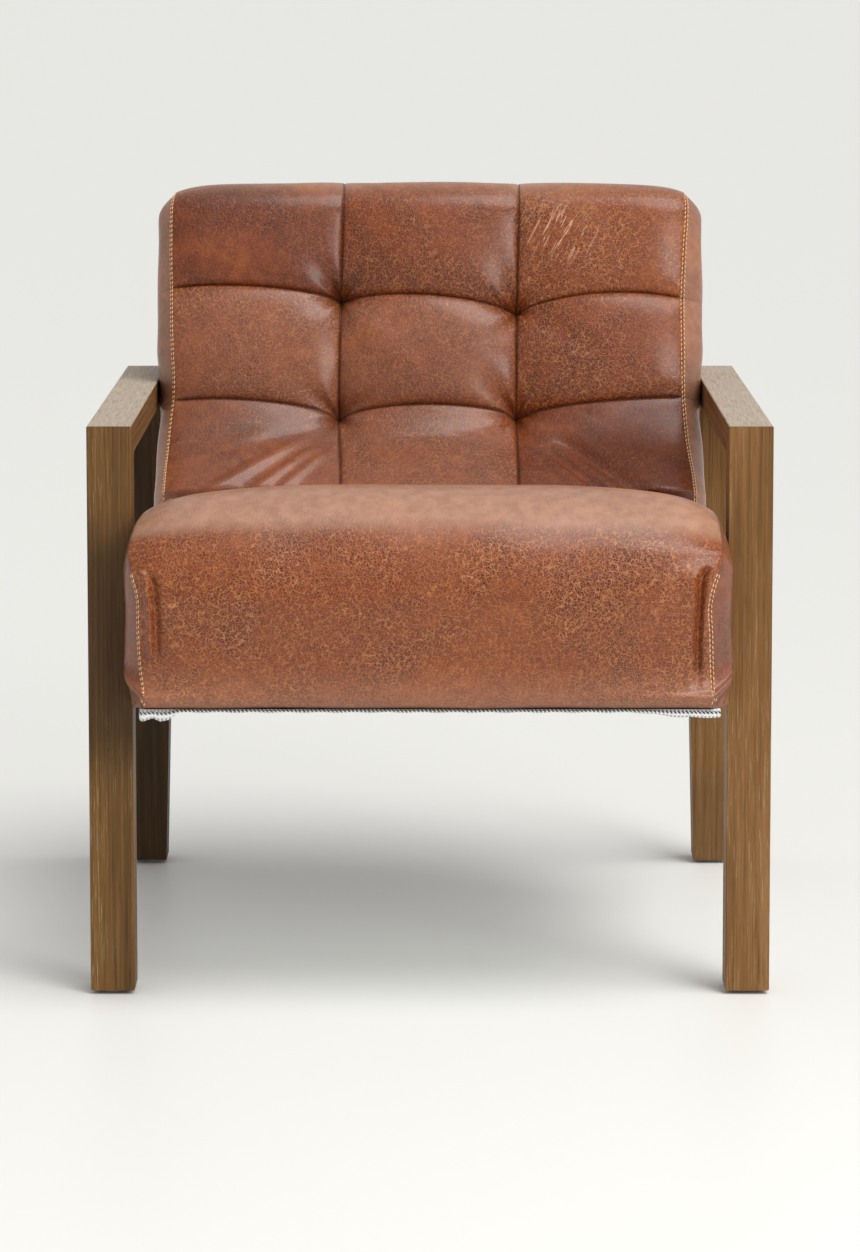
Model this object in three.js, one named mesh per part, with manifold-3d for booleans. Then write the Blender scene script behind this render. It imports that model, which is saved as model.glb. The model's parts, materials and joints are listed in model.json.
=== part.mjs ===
// Upholstered armchair: a sloping L-shaped leather seat and back slung between two wooden side frames.
// Millimetres, +Z up. The chair faces -Y, and +X is to the right of someone who looks at its front.
// Side outlines are drawn in the YZ plane. There y = 0 is the front face of the front legs and
// z = 0 is the cut end of the legs; the whole chair is set on its glides and centred at the end.
import * as THREE from "three";
import { mergeVertices } from "three/addons/utils/BufferGeometryUtils.js";
import Module from "manifold-3d";

const wasm = await Module();
wasm.setup();

// ---------------------------------------------------------------- driving dimensions
const GAP = 0.3; // between two pieces that touch

// side frames
const OVERALL_WIDTH = 680;
const ARM_TOP = 569;
const ARM_LENGTH = 620;
const ARM_THICKNESS = 31;
const STOCK_WIDTH = 44; // legs and arms, along X
const LEG_DEPTH = 46; // legs, along Y
const REAR_RAKE = angle(6.4); // the rear legs splay backwards as they go down
const INNER_FILLET = 10; // under the arm, where it meets a leg
const EASED_EDGE = 1; // broken edges of the wood
const FOOT_TAPER = 5; // taken off the inner face of a rear foot
const FOOT_TAPER_HEIGHT = 165;

// loose tenons in the mitres, and glides under the legs
const TENON = { across: 10, along: 18, deep: 16 };
const GLIDE = { radius: 11, height: 4, edge: 1, pinRadius: 1.2, pinLength: 12 };

// seat
const SEAT_FRONT_HEIGHT = 299; // underside, at the front edge
const SEAT_OVERHANG = 80; // front edge of the underside, ahead of the legs
const SEAT_HEIGHT = 512; // top plane, over the front faces of the legs
const SEAT_LENGTH = 390; // front edge of the underside to the foot of the back
const SEAT_FRONT_LEAN = angle(5); // the front face leans forwards
const SEAT_TOP_RAKE = angle(8);
const SEAT_BASE_RAKE = angle(5);
const SEAT_NOSE_RADIUS = 100;
const SEAT_LIP_RADIUS = 20;
const LEATHER_TURN = 30; // leather turned under the front edge and under the rear edge

// back
const BACK_RAKE = angle(18.5);
const BACK_DATUM = { y: 408, z: 569 }; // a point on the back's front face, from which it is measured
const BACK_THICKNESS = 135;
const BACK_RISE = 234.5; // along the back, from the datum to its top
const BACK_FRONT_RADIUS = 45;
const BACK_REAR_RADIUS = 25;
const BACK_FOOT_RADIUS = 30;
const LUMBAR_START = 55; // below the datum, the middle of the curve forwards into the seat
const LUMBAR_RADIUS = 100;
const SEAM_UPPER = 112; // cross seams, along the back from the datum
const SEAM_LOWER = -17;
const SEAM_SIDE = 95; // upright seams, each side of the middle
const BACK_FLAP = 85; // how far the top leather comes down behind

// upholstery
const LEATHER = 2.4;
const WEBBING = 2.4;
const STRAP_WIDTH = 60;
const STRAP_MARGIN = 10; // from the end straps of the seat to the front rail and to the foot of the back
const SEAT_STRAPS = 4;
const BACK_STRAPS = [SEAM_LOWER, (SEAM_LOWER + SEAM_UPPER) / 2, SEAM_UPPER];
const TIE_RADIUS = 1.5;
const DUST_COVER = 1.2;
const DUST_COVER_INSET = 8;

// inner frame
const PLY = 25;
const RAIL_HEIGHT = 92;
const STILE_DEPTH = 60;
const STILE_STOP = 44; // top of the stiles, below the top of the back
const FRONT_RAIL_SET_BACK = 30; // front face of the front rail, behind the front edge of the underside
const BLOCK_SIDE = 60;
const BLOCK_MARGIN = 10;
const REAR_RAIL_SET_BACK = 20; // rear rail, in front of the seat's rear corner
const LUMBAR_RAIL = { top: -40, height: 60 };
const FRAME_CLEARANCE = 0.6; // between the inner frame and the leather

// bolts from inside the frame into the legs and the arms
const BOLT = { radius: 4, length: 52, headRadius: 8, headHeight: 5.5, clearance: 0.3, hexAcross: 6 };
const HEAD_ROOM = 2;
const LEG_BOLT_HEIGHTS = [22, 68]; // above the underside of the inner frame
const ARC_STEPS = 10; // per quarter turn

// ---------------------------------------------------------------- derived sizes
const HALF_WIDTH = OVERALL_WIDTH / 2;
const INNER_WIDTH = HALF_WIDTH - STOCK_WIDTH; // middle to the inner face of a side frame
const GUSSET_OUTER = INNER_WIDTH - GAP;
const GUSSET_INNER = GUSSET_OUTER - LEATHER;
const BODY_HALF = GUSSET_INNER - GAP; // leather panels, foam and inner frame, each side of the middle
const FRAME_INNER = BODY_HALF - PLY;
const SKIN = LEATHER + GAP;
const FRAME_INSET = LEATHER + FRAME_CLEARANCE;
const FRAME_TOP = FRAME_INSET + RAIL_HEIGHT; // above the seat's underside
const FOAM_SEAT_BOTTOM = FRAME_TOP + WEBBING + 2 * GAP;
const STILE_FRONT = BACK_THICKNESS - FRAME_INSET - STILE_DEPTH; // behind the back's front face
const STILE_TOP = BACK_RISE - STILE_STOP;
const STRAP_FRONT = STILE_FRONT - GAP - WEBBING;
const FOAM_BACK_REAR = STRAP_FRONT - GAP;
const SEAT_REAR = SEAT_LENGTH - SEAT_OVERHANG;

// ---------------------------------------------------------------- colours
const WOOD = finish(0x7d6040, 0.55);
const LEATHER_TAN = finish(0x9a5a3b, 0.42);
const PLYWOOD = finish(0xc9a878, 0.7);
const FOAM = finish(0xe9dfc2, 0.95);
const WEB = finish(0x4c4a46, 0.85);
const CLOTH = finish(0xc8c8c6, 0.95);
const TWINE = finish(0xd8c7a4, 0.9);
const STEEL = finish(0x9a9da1, 0.35, 1);
const GLIDE_PLASTIC = finish(0xdcdad4, 0.5);

function angle(degrees) {
  return THREE.MathUtils.degToRad(degrees);
}

function finish(color, roughness, metalness = 0) {
  return new THREE.MeshStandardMaterial({ color, roughness, metalness });
}

// ---------------------------------------------------------------- outlines in the YZ plane
// A corner is { y, z, r }. An outline is a list of corners, anticlockwise, with y to the right.
function corner(y, z, r = 0) {
  return { y, z, r };
}

function seatBase(y) {
  return SEAT_FRONT_HEIGHT - (y + SEAT_OVERHANG) * Math.tan(SEAT_BASE_RAKE);
}

function seatTop(y) {
  return SEAT_HEIGHT - y * Math.tan(SEAT_TOP_RAKE);
}

// A place on the back: behind its front face, and along it from the datum.
function onBack(behind, along, r = 0) {
  const y = BACK_DATUM.y + behind * Math.cos(BACK_RAKE) + along * Math.sin(BACK_RAKE);
  const z = BACK_DATUM.z - behind * Math.sin(BACK_RAKE) + along * Math.cos(BACK_RAKE);
  return corner(y, z, r);
}

// Where the line at a height above the seat's underside meets a plane at a depth in the back.
function baseMeetsBack(above, behind, r = 0) {
  const from = onBack(behind, 0);
  const run = from.z - above - seatBase(from.y);
  const along = -run / (Math.cos(BACK_RAKE) + Math.sin(BACK_RAKE) * Math.tan(SEAT_BASE_RAKE));
  return { ...onBack(behind, along), r };
}

function frontAt(z) {
  return -SEAT_OVERHANG - (z - SEAT_FRONT_HEIGHT) * Math.tan(SEAT_FRONT_LEAN);
}

// The sharp corner where the seat's front face would meet its top plane.
function noseCorner(r) {
  const lean = Math.tan(SEAT_FRONT_LEAN);
  const fall = Math.tan(SEAT_TOP_RAKE);
  const z = (SEAT_HEIGHT + (SEAT_OVERHANG - SEAT_FRONT_HEIGHT * lean) * fall) / (1 - lean * fall);
  return corner(frontAt(z), z, r);
}

function seatOutline() {
  return [
    corner(-SEAT_OVERHANG, SEAT_FRONT_HEIGHT, SEAT_LIP_RADIUS),
    corner(SEAT_REAR, seatBase(SEAT_REAR)),
    corner(SEAT_REAR, seatTop(SEAT_REAR)),
    noseCorner(SEAT_NOSE_RADIUS),
  ];
}

// The lumbar curve ends below the lower cross seam, where the back is still flat.
function lumbarRadius(from, to) {
  const half = (Math.atan2(from.y - to.y, from.z - to.z) - BACK_RAKE) / 2;
  return Math.min(LUMBAR_RADIUS, (LUMBAR_START + SEAM_LOWER) / Math.tan(half));
}

function backOutline() {
  const front = SEAT_REAR + GAP;
  const junction = corner(front, seatTop(front));
  const lumbar = onBack(0, -LUMBAR_START);
  return [
    corner(front, seatBase(front)),
    baseMeetsBack(0, BACK_THICKNESS, BACK_FOOT_RADIUS),
    onBack(BACK_THICKNESS, BACK_RISE, BACK_REAR_RADIUS),
    onBack(0, BACK_RISE, BACK_FRONT_RADIUS),
    { ...lumbar, r: lumbarRadius(lumbar, junction) },
    junction,
  ];
}

// The same outline, moved inwards by a distance. Rounded corners keep their centres.
function inset(outline, distance) {
  const edges = outline.map((from, i) => {
    const to = outline[(i + 1) % outline.length];
    const along = new THREE.Vector2(to.y - from.y, to.z - from.z).normalize();
    const inwards = new THREE.Vector2(-along.y, along.x);
    return { along, point: new THREE.Vector2(from.y, from.z).addScaledVector(inwards, distance) };
  });
  return outline.map((old, i) => {
    const before = edges.at(i - 1);
    const after = edges[i];
    const turn = before.along.cross(after.along);
    const between = after.point.clone().sub(before.point);
    const meet = before.point.clone().addScaledVector(before.along, between.cross(after.along) / turn);
    const r = old.r === 0 ? 0 : old.r - Math.sign(turn) * distance;
    return corner(meet.x, meet.y, r);
  });
}

function toShape(outline) {
  const points = outline.flatMap((at, i) => {
    const middle = new THREE.Vector2(at.y, at.z);
    if (at.r === 0) {
      return [middle];
    }
    const before = outline.at(i - 1);
    const after = outline[(i + 1) % outline.length];
    const back = new THREE.Vector2(before.y, before.z).sub(middle).normalize();
    const on = new THREE.Vector2(after.y, after.z).sub(middle).normalize();
    const half = Math.acos(back.dot(on)) / 2;
    const centre = back.clone().add(on).setLength(at.r / Math.sin(half)).add(middle);
    const start = back.clone().multiplyScalar(at.r / Math.tan(half)).add(middle).sub(centre);
    const sweep = (Math.PI - 2 * half) * -Math.sign(back.cross(on));
    const steps = Math.max(2, Math.ceil((Math.abs(sweep) / (Math.PI / 2)) * ARC_STEPS));
    return Array.from({ length: steps + 1 }, (_, step) =>
      start.clone().rotateAround(new THREE.Vector2(), (sweep * step) / steps).add(centre),
    );
  });
  return new THREE.Shape(points);
}

// ---------------------------------------------------------------- solids
// Shape x becomes Y, shape y becomes Z, and the extrusion runs along X.
const SIDEWAYS = new THREE.Matrix4().makeBasis(
  new THREE.Vector3(0, 1, 0),
  new THREE.Vector3(0, 0, 1),
  new THREE.Vector3(1, 0, 0),
);

function slab(outline, fromX, toX, eased = 0) {
  const geometry = new THREE.ExtrudeGeometry(toShape(outline), {
    depth: toX - fromX - 2 * eased,
    bevelEnabled: eased > 0,
    bevelSize: eased,
    bevelThickness: eased,
    bevelOffset: -eased,
    bevelSegments: 1,
  });
  return geometry.applyMatrix4(SIDEWAYS).translate(fromX + eased, 0, 0);
}

function toSolid(geometry) {
  const bare = geometry.clone();
  bare.deleteAttribute("normal");
  bare.deleteAttribute("uv");
  const merged = mergeVertices(bare, 1e-4);
  const mesh = new wasm.Mesh({
    numProp: 3,
    vertProperties: new Float32Array(merged.attributes.position.array),
    triVerts: new Uint32Array(merged.index.array),
  });
  return new wasm.Manifold(mesh);
}

function toGeometry(solid) {
  const mesh = solid.getMesh();
  const geometry = new THREE.BufferGeometry();
  geometry.setAttribute("position", new THREE.BufferAttribute(mesh.vertProperties, 3));
  geometry.setIndex(new THREE.BufferAttribute(mesh.triVerts, 1));
  geometry.computeVertexNormals();
  return geometry;
}

function cut(geometry, ...tools) {
  return toGeometry(tools.reduce((solid, tool) => solid.subtract(toSolid(tool)), toSolid(geometry)));
}

function keep(geometry, region) {
  return toGeometry(toSolid(geometry).intersect(toSolid(region)));
}

function rodAlongX(radius, fromX, toX, y, z, sides = 16) {
  const rod = new THREE.CylinderGeometry(radius, radius, toX - fromX, sides);
  return rod.rotateZ(Math.PI / 2).translate((fromX + toX) / 2, y, z);
}

function rodIntoBack(radius, x, along, from, to, sides = 10) {
  const middle = onBack((from + to) / 2, along);
  const rod = new THREE.CylinderGeometry(radius, radius, to - from, sides);
  return rod.rotateX(-BACK_RAKE).translate(x, middle.y, middle.z);
}

const chair = new THREE.Group();

function add(name, geometry, material, parent = chair) {
  const mesh = new THREE.Mesh(geometry, material);
  mesh.name = name;
  parent.add(mesh);
}

// The two sides of the chair. A piece that is made for +X is turned over for -X.
const SIDES = [
  { side: "left", sign: -1 },
  { side: "right", sign: 1 },
];

function onSide(geometry, sign) {
  return sign > 0 ? geometry : toGeometry(toSolid(geometry).mirror([1, 0, 0]));
}

// ---------------------------------------------------------------- side frames
function rearLegFront(z) {
  return ARM_LENGTH - LEG_DEPTH + (ARM_TOP - z) * Math.tan(REAR_RAKE);
}

function sideFrameOutline() {
  const under = ARM_TOP - ARM_THICKNESS;
  return [
    corner(0, 0),
    corner(LEG_DEPTH, 0),
    corner(LEG_DEPTH, under, INNER_FILLET),
    corner(rearLegFront(under), under, INNER_FILLET),
    corner(rearLegFront(0), 0),
    corner(rearLegFront(0) + LEG_DEPTH, 0),
    corner(ARM_LENGTH, ARM_TOP),
    corner(0, ARM_TOP),
  ];
}

// The mitres run from the outer corners to the inner ones. "away" is the way out of the frame, along Y.
const MITRES = [
  { end: "front", away: -1, outer: corner(0, ARM_TOP), inner: corner(LEG_DEPTH, ARM_TOP - ARM_THICKNESS) },
  {
    end: "rear",
    away: 1,
    outer: corner(ARM_LENGTH, ARM_TOP),
    inner: corner(rearLegFront(ARM_TOP - ARM_THICKNESS), ARM_TOP - ARM_THICKNESS),
  },
];

function mitreFrame({ outer, inner }) {
  const down = new THREE.Vector2(inner.y - outer.y, inner.z - outer.z);
  const middle = new THREE.Vector2(outer.y, outer.z).addScaledVector(down, 0.5);
  return { middle, down: down.normalize() };
}

// The space of the leg below a mitre, which ends short of the mitre or runs past it.
function legSpace(mitre, past) {
  const { middle, down } = mitreFrame(mitre);
  const towardsArm = new THREE.Vector2(down.y, -down.x).multiplyScalar(mitre.away * past);
  const top = middle.clone().addScaledVector(down, -2 * LEG_DEPTH).add(towardsArm);
  const low = middle.clone().addScaledVector(down, LEG_DEPTH / 2 + 2 * INNER_FILLET).add(towardsArm);
  const out = mitre.outer.y + mitre.away * 3 * LEG_DEPTH;
  const outline = [
    corner(low.x, low.y),
    corner(top.x, top.y),
    corner(out, top.y),
    corner(out, -LEG_DEPTH),
    corner(low.x, -LEG_DEPTH),
  ];
  return slab(outline, 0, OVERALL_WIDTH);
}

function tenonBlock(mitre, clearance) {
  const { middle, down } = mitreFrame(mitre);
  const x = INNER_WIDTH + STOCK_WIDTH / 2;
  const width = TENON.across + 2 * clearance;
  const block = new THREE.BoxGeometry(width, TENON.deep + 2 * clearance, TENON.along + 2 * clearance);
  block.rotateX(Math.atan2(-down.y, -down.x) - Math.PI / 2);
  return block.translate(x, middle.x, middle.y);
}

function footTaperWedge() {
  const shape = new THREE.Shape([
    new THREE.Vector2(INNER_WIDTH - 1, FOOT_TAPER_HEIGHT),
    new THREE.Vector2(INNER_WIDTH - 1, -1),
    new THREE.Vector2(INNER_WIDTH + FOOT_TAPER, -1),
    new THREE.Vector2(INNER_WIDTH, FOOT_TAPER_HEIGHT),
  ]);
  const wedge = new THREE.ExtrudeGeometry(shape, { depth: 2 * LEG_DEPTH, bevelEnabled: false });
  return wedge.rotateX(Math.PI / 2).translate(0, rearLegFront(0) + 1.5 * LEG_DEPTH, 0);
}

const FEET = [
  { end: "front", x: INNER_WIDTH + STOCK_WIDTH / 2, y: LEG_DEPTH / 2 },
  { end: "rear", x: INNER_WIDTH + (STOCK_WIDTH + FOOT_TAPER) / 2, y: rearLegFront(0) + LEG_DEPTH / 2 },
];

function pinHole(foot) {
  const hole = new THREE.CylinderGeometry(GLIDE.pinRadius + GAP, GLIDE.pinRadius + GAP, 2 * GLIDE.pinLength, 12);
  return hole.rotateX(Math.PI / 2).translate(foot.x, foot.y, GAP);
}

function glideGeometry() {
  const { radius, height, edge, pinRadius, pinLength } = GLIDE;
  const top = -GAP;
  const profile = [
    new THREE.Vector2(0, -height),
    new THREE.Vector2(radius - edge, -height),
    new THREE.Vector2(radius, -height + edge),
    new THREE.Vector2(radius, top),
    new THREE.Vector2(pinRadius, top),
    new THREE.Vector2(pinRadius, pinLength - 2 * pinRadius),
    new THREE.Vector2(0, pinLength - GAP),
  ];
  return new THREE.LatheGeometry(profile, 20).rotateX(Math.PI / 2);
}

// ---------------------------------------------------------------- bolts
// Two bolts hold the seat to each front leg, and one holds the back to each arm.
const BOLTS = [
  ...LEG_BOLT_HEIGHTS.map((above, i) => {
    const y = LEG_DEPTH / 2;
    return { name: ["leg_bolt_lower", "leg_bolt_upper"][i], y, z: seatBase(y) + FRAME_INSET + above };
  }),
  armBolt(),
];

function armBolt() {
  const z = ARM_TOP - ARM_THICKNESS / 2;
  const behind = STILE_FRONT + STILE_DEPTH / 2;
  const along = (z - onBack(behind, 0).z) / Math.cos(BACK_RAKE);
  return { name: "arm_bolt", y: onBack(behind, along).y, z };
}

function boltHole({ y, z }) {
  return rodAlongX(BOLT.radius + BOLT.clearance, 0, FRAME_INNER + BOLT.length + GAP, y, z);
}

function boltGeometry({ y, z }) {
  const headInner = FRAME_INNER - GAP - BOLT.headHeight;
  const shank = rodAlongX(BOLT.radius, headInner + 1, FRAME_INNER + BOLT.length, y, z);
  const head = rodAlongX(BOLT.headRadius, headInner, FRAME_INNER - GAP, y, z);
  const socket = rodAlongX(BOLT.hexAcross / 2, headInner - 1, headInner + BOLT.headHeight / 2, y, z, 6);
  return cut(toGeometry(toSolid(head).add(toSolid(shank))), socket);
}

function addSideFrame({ side, sign }) {
  const group = new THREE.Group();
  const whole = slab(sideFrameOutline(), INNER_WIDTH, HALF_WIDTH, EASED_EDGE);
  const [frontMitre, rearMitre] = MITRES;
  const mortises = MITRES.map((mitre) => tenonBlock(mitre, GAP));
  const holes = BOLTS.map(boltHole);
  const [frontFoot, rearFoot] = FEET;

  const frontLeg = keep(whole, legSpace(frontMitre, -GAP / 2));
  const arm = cut(whole, ...MITRES.map((mitre) => legSpace(mitre, GAP / 2)));
  const rearLeg = keep(whole, legSpace(rearMitre, -GAP / 2));
  const pieces = {
    front_leg: cut(frontLeg, mortises[0], pinHole(frontFoot), holes[0], holes[1]),
    arm: cut(arm, ...mortises, holes[2]),
    rear_leg: cut(rearLeg, mortises[1], pinHole(rearFoot), footTaperWedge()),
  };
  for (const [name, geometry] of Object.entries(pieces)) {
    add(`${name}_${side}`, onSide(geometry, sign), WOOD, group);
  }
  for (const mitre of MITRES) {
    add(`${mitre.end}_mitre_tenon_${side}`, onSide(tenonBlock(mitre, 0), sign), PLYWOOD, group);
  }
  for (const foot of FEET) {
    const geometry = glideGeometry().translate(sign * foot.x, foot.y, 0);
    add(`${foot.end}_glide_${side}`, geometry, GLIDE_PLASTIC, group);
  }
  for (const bolt of BOLTS) {
    add(`${bolt.name}_${side}`, onSide(boltGeometry(bolt), sign), STEEL, group);
  }
  chair.add(group);
}

// ---------------------------------------------------------------- inner frame
const FRAME_FRONT = FRONT_RAIL_SET_BACK - SEAT_OVERHANG;
const FRAME_REAR_Y = baseMeetsBack(FRAME_INSET, BACK_THICKNESS - FRAME_INSET).y;

// A board that stands on the underside of the seat frame, from one height above it to another.
function onBase(fromY, toY, fromAbove, toAbove) {
  return [
    corner(fromY, seatBase(fromY) + fromAbove),
    corner(toY, seatBase(toY) + fromAbove),
    corner(toY, seatBase(toY) + toAbove),
    corner(fromY, seatBase(fromY) + toAbove),
  ];
}

// A board in the back, between two depths behind the front face and two places along it.
function inBack(fromBehind, toBehind, fromAlong, toAlong) {
  return [
    onBack(fromBehind, fromAlong),
    onBack(toBehind, fromAlong),
    onBack(toBehind, toAlong),
    onBack(fromBehind, toAlong),
  ];
}

function frameSideOutline() {
  return [
    corner(FRAME_FRONT, seatBase(FRAME_FRONT) + FRAME_INSET),
    baseMeetsBack(FRAME_INSET, BACK_THICKNESS - FRAME_INSET, BACK_FOOT_RADIUS - FRAME_INSET),
    onBack(BACK_THICKNESS - FRAME_INSET, STILE_TOP, 10),
    onBack(STILE_FRONT, STILE_TOP, 10),
    baseMeetsBack(FRAME_TOP, STILE_FRONT),
    corner(FRAME_FRONT, seatBase(FRAME_FRONT) + FRAME_TOP),
  ];
}

function addInnerFrame() {
  const span = FRAME_INNER - GAP;
  const holes = BOLTS.map(boltHole);
  for (const { side, sign } of SIDES) {
    const panel = cut(slab(frameSideOutline(), FRAME_INNER, BODY_HALF), ...holes);
    add(`frame_side_${side}`, onSide(panel, sign), PLYWOOD);
    add(`corner_block_${side}`, onSide(cornerBlock(), sign), PLYWOOD);
  }
  const rearRail = FRAME_REAR_Y - BACK_FOOT_RADIUS - REAR_RAIL_SET_BACK;
  const lumbarTop = LUMBAR_RAIL.top;
  const rails = {
    front_rail: onBase(FRAME_FRONT, FRAME_FRONT + PLY, FRAME_INSET, FRAME_TOP),
    rear_rail: onBase(rearRail - PLY, rearRail, FRAME_INSET, FRAME_TOP),
    lumbar_rail: inBack(STILE_FRONT, STILE_FRONT + PLY, lumbarTop - LUMBAR_RAIL.height, lumbarTop),
    top_rail: inBack(STILE_FRONT, BACK_THICKNESS - FRAME_INSET, STILE_TOP - PLY, STILE_TOP),
  };
  const rooms = BOLTS.map(headRoom);
  const bothRooms = [...rooms, ...rooms.map((room) => onSide(room, -1))];
  for (const [name, outline] of Object.entries(rails)) {
    add(name, cut(slab(outline, -span, span), ...bothRooms), PLYWOOD);
  }
}

function cornerBlock() {
  const x = FRAME_INNER - GAP;
  const y = FRAME_FRONT + PLY + GAP;
  const shape = new THREE.Shape([
    new THREE.Vector2(x, y),
    new THREE.Vector2(x, y + BLOCK_SIDE),
    new THREE.Vector2(x - BLOCK_SIDE, y),
  ]);
  const height = RAIL_HEIGHT - 2 * BLOCK_MARGIN;
  const block = new THREE.ExtrudeGeometry(shape, { depth: height, bevelEnabled: false });
  return cut(block.translate(0, 0, seatBase(y) + FRAME_INSET + BLOCK_MARGIN), ...BOLTS.map(headRoom));
}

// Room round a bolt's head, in a corner block or a rail beside it.
function headRoom({ y, z }) {
  const inner = FRAME_INNER - GAP - BOLT.headHeight - HEAD_ROOM;
  return rodAlongX(BOLT.headRadius + HEAD_ROOM, inner, FRAME_INNER, y, z);
}

// ---------------------------------------------------------------- webbing, foam and ties
function addSuspension() {
  const reach = BODY_HALF - 3;
  const firstStrap = FRAME_FRONT + PLY + STRAP_MARGIN;
  const lastStrap = SEAT_REAR - STRAP_MARGIN - STRAP_WIDTH;
  for (let i = 0; i < SEAT_STRAPS; i += 1) {
    const from = THREE.MathUtils.lerp(firstStrap, lastStrap, i / (SEAT_STRAPS - 1));
    const outline = onBase(from, from + STRAP_WIDTH, FRAME_TOP + GAP, FRAME_TOP + GAP + WEBBING);
    add(`seat_webbing_${i + 1}`, slab(outline, -reach, reach), WEB);
  }
  BACK_STRAPS.forEach((middle, i) => {
    const from = middle - STRAP_WIDTH / 2;
    const outline = inBack(STRAP_FRONT, STRAP_FRONT + WEBBING, from, from + STRAP_WIDTH);
    add(`back_webbing_${i + 1}`, slab(outline, -reach, reach), WEB);
  });
}

const TUFTS = [
  { name: "upper_left", x: -SEAM_SIDE, along: SEAM_UPPER },
  { name: "upper_right", x: SEAM_SIDE, along: SEAM_UPPER },
  { name: "lower_left", x: -SEAM_SIDE, along: SEAM_LOWER },
  { name: "lower_right", x: SEAM_SIDE, along: SEAM_LOWER },
];

function addFoam() {
  const half = BODY_HALF - GAP;
  const [lip, , rearTop, nose] = inset(seatOutline(), SKIN);
  const noseBack = FRAME_FRONT - GAP;
  const seat = [
    lip,
    corner(noseBack, seatBase(noseBack) + SKIN),
    corner(noseBack, seatBase(noseBack) + FOAM_SEAT_BOTTOM),
    corner(rearTop.y, seatBase(rearTop.y) + FOAM_SEAT_BOTTOM),
    rearTop,
    nose,
  ];
  add("seat_foam", slab(seat, -half, half), FOAM);

  const [foot, , topRear, topFront, lumbar, junction] = inset(backOutline(), SKIN);
  const above = STILE_TOP + GAP;
  const back = [
    corner(foot.y, seatBase(foot.y) + FOAM_SEAT_BOTTOM),
    baseMeetsBack(FOAM_SEAT_BOTTOM, FOAM_BACK_REAR),
    onBack(FOAM_BACK_REAR, above),
    onBack(BACK_THICKNESS - SKIN, above),
    topRear,
    topFront,
    lumbar,
    junction,
  ];
  const holes = TUFTS.map(({ x, along }) =>
    rodIntoBack(TIE_RADIUS + GAP, x, along, -BACK_THICKNESS, BACK_THICKNESS),
  );
  add("back_foam", cut(slab(back, -half, half), ...holes), FOAM);
  for (const { name, x, along } of TUFTS) {
    add(`tuft_tie_${name}`, rodIntoBack(TIE_RADIUS, x, along, SKIN, FOAM_BACK_REAR), TWINE);
  }
}

// ---------------------------------------------------------------- leather and dust cover
function skinOf(outline, fromX, toX) {
  return cut(slab(outline, fromX, toX), slab(inset(outline, LEATHER), fromX - 1, toX + 1));
}

function addSeatCover() {
  const ends = seatOutline();
  const turnEnd = LEATHER_TURN - SEAT_OVERHANG;
  const belowRear = onBase(turnEnd, SEAT_REAR + 1, -1, LEATHER + 1);
  const behind = onBase(SEAT_REAR - LEATHER - 1, SEAT_REAR + 1, 0, 2 * SEAT_HEIGHT);
  const skin = skinOf(ends, -BODY_HALF, BODY_HALF);
  const past = BODY_HALF + 1;
  const open = cut(skin, slab(belowRear, -past, past), slab(behind, -past, past));
  add("seat_cover_panel", open, LEATHER_TAN);
  for (const { side, sign } of SIDES) {
    const gusset = cut(slab(ends, GUSSET_INNER, GUSSET_OUTER), ...BOLTS.slice(0, 2).map(boltHole));
    add(`seat_gusset_${side}`, onSide(gusset, sign), LEATHER_TAN);
  }
}

function addBackCover() {
  const outline = backOutline();
  const far = 2 * BACK_THICKNESS;
  const middle = BACK_THICKNESS / 2;
  const flap = BACK_RISE - BACK_FLAP;
  const junction = seatTop(SEAT_REAR);
  const rows = {
    top: [
      onBack(-middle, SEAM_UPPER + GAP / 2),
      onBack(middle, SEAM_UPPER + GAP / 2),
      onBack(middle, flap),
      onBack(far, flap),
      onBack(far, BACK_RISE + middle),
      onBack(-middle, BACK_RISE + middle),
    ],
    middle: inBack(-middle, middle, SEAM_LOWER + GAP / 2, SEAM_UPPER - GAP / 2),
    bottom: [
      corner(SEAT_REAR, junction),
      corner(BACK_DATUM.y, junction),
      onBack(middle, SEAM_LOWER - GAP / 2),
      onBack(-far, SEAM_LOWER - GAP / 2),
    ],
  };
  const columns = {
    left: [-BODY_HALF, -SEAM_SIDE - GAP / 2],
    centre: [-SEAM_SIDE + GAP / 2, SEAM_SIDE - GAP / 2],
    right: [SEAM_SIDE + GAP / 2, BODY_HALF],
  };
  for (const [row, region] of Object.entries(rows)) {
    for (const [column, [fromX, toX]] of Object.entries(columns)) {
      const panel = keep(skinOf(outline, fromX, toX), slab(region, fromX - 1, toX + 1));
      add(`back_panel_${row}_${column}`, panel, LEATHER_TAN);
    }
  }
  for (const { side, sign } of SIDES) {
    const gusset = cut(slab(outline, GUSSET_INNER, GUSSET_OUTER), boltHole(BOLTS[2]));
    add(`back_gusset_${side}`, onSide(gusset, sign), LEATHER_TAN);
  }
  const foot = baseMeetsBack(0, BACK_THICKNESS);
  const turnEnd = foot.y - BACK_FOOT_RADIUS - LEATHER_TURN;
  const outside = [
    corner(turnEnd, foot.z - far),
    corner(foot.y + far, foot.z - far),
    onBack(far, flap - GAP),
    onBack(middle, flap - GAP),
    corner(turnEnd, foot.z + middle),
  ];
  const panel = keep(skinOf(outline, -BODY_HALF, BODY_HALF), slab(outside, -HALF_WIDTH, HALF_WIDTH));
  add("outside_back_panel", panel, LEATHER_TAN);
}

function addDustCover() {
  const from = LEATHER_TURN - SEAT_OVERHANG + GAP;
  const to = baseMeetsBack(0, BACK_THICKNESS).y - BACK_FOOT_RADIUS - LEATHER_TURN - GAP;
  const outline = onBase(from, to, GAP, GAP + DUST_COVER);
  const half = BODY_HALF - DUST_COVER_INSET;
  add("dust_cover", slab(outline, -half, half), CLOTH);
}

// ---------------------------------------------------------------- assembly
SIDES.forEach(addSideFrame);
addInnerFrame();
addSuspension();
addFoam();
addSeatCover();
addBackCover();
addDustCover();

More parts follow.
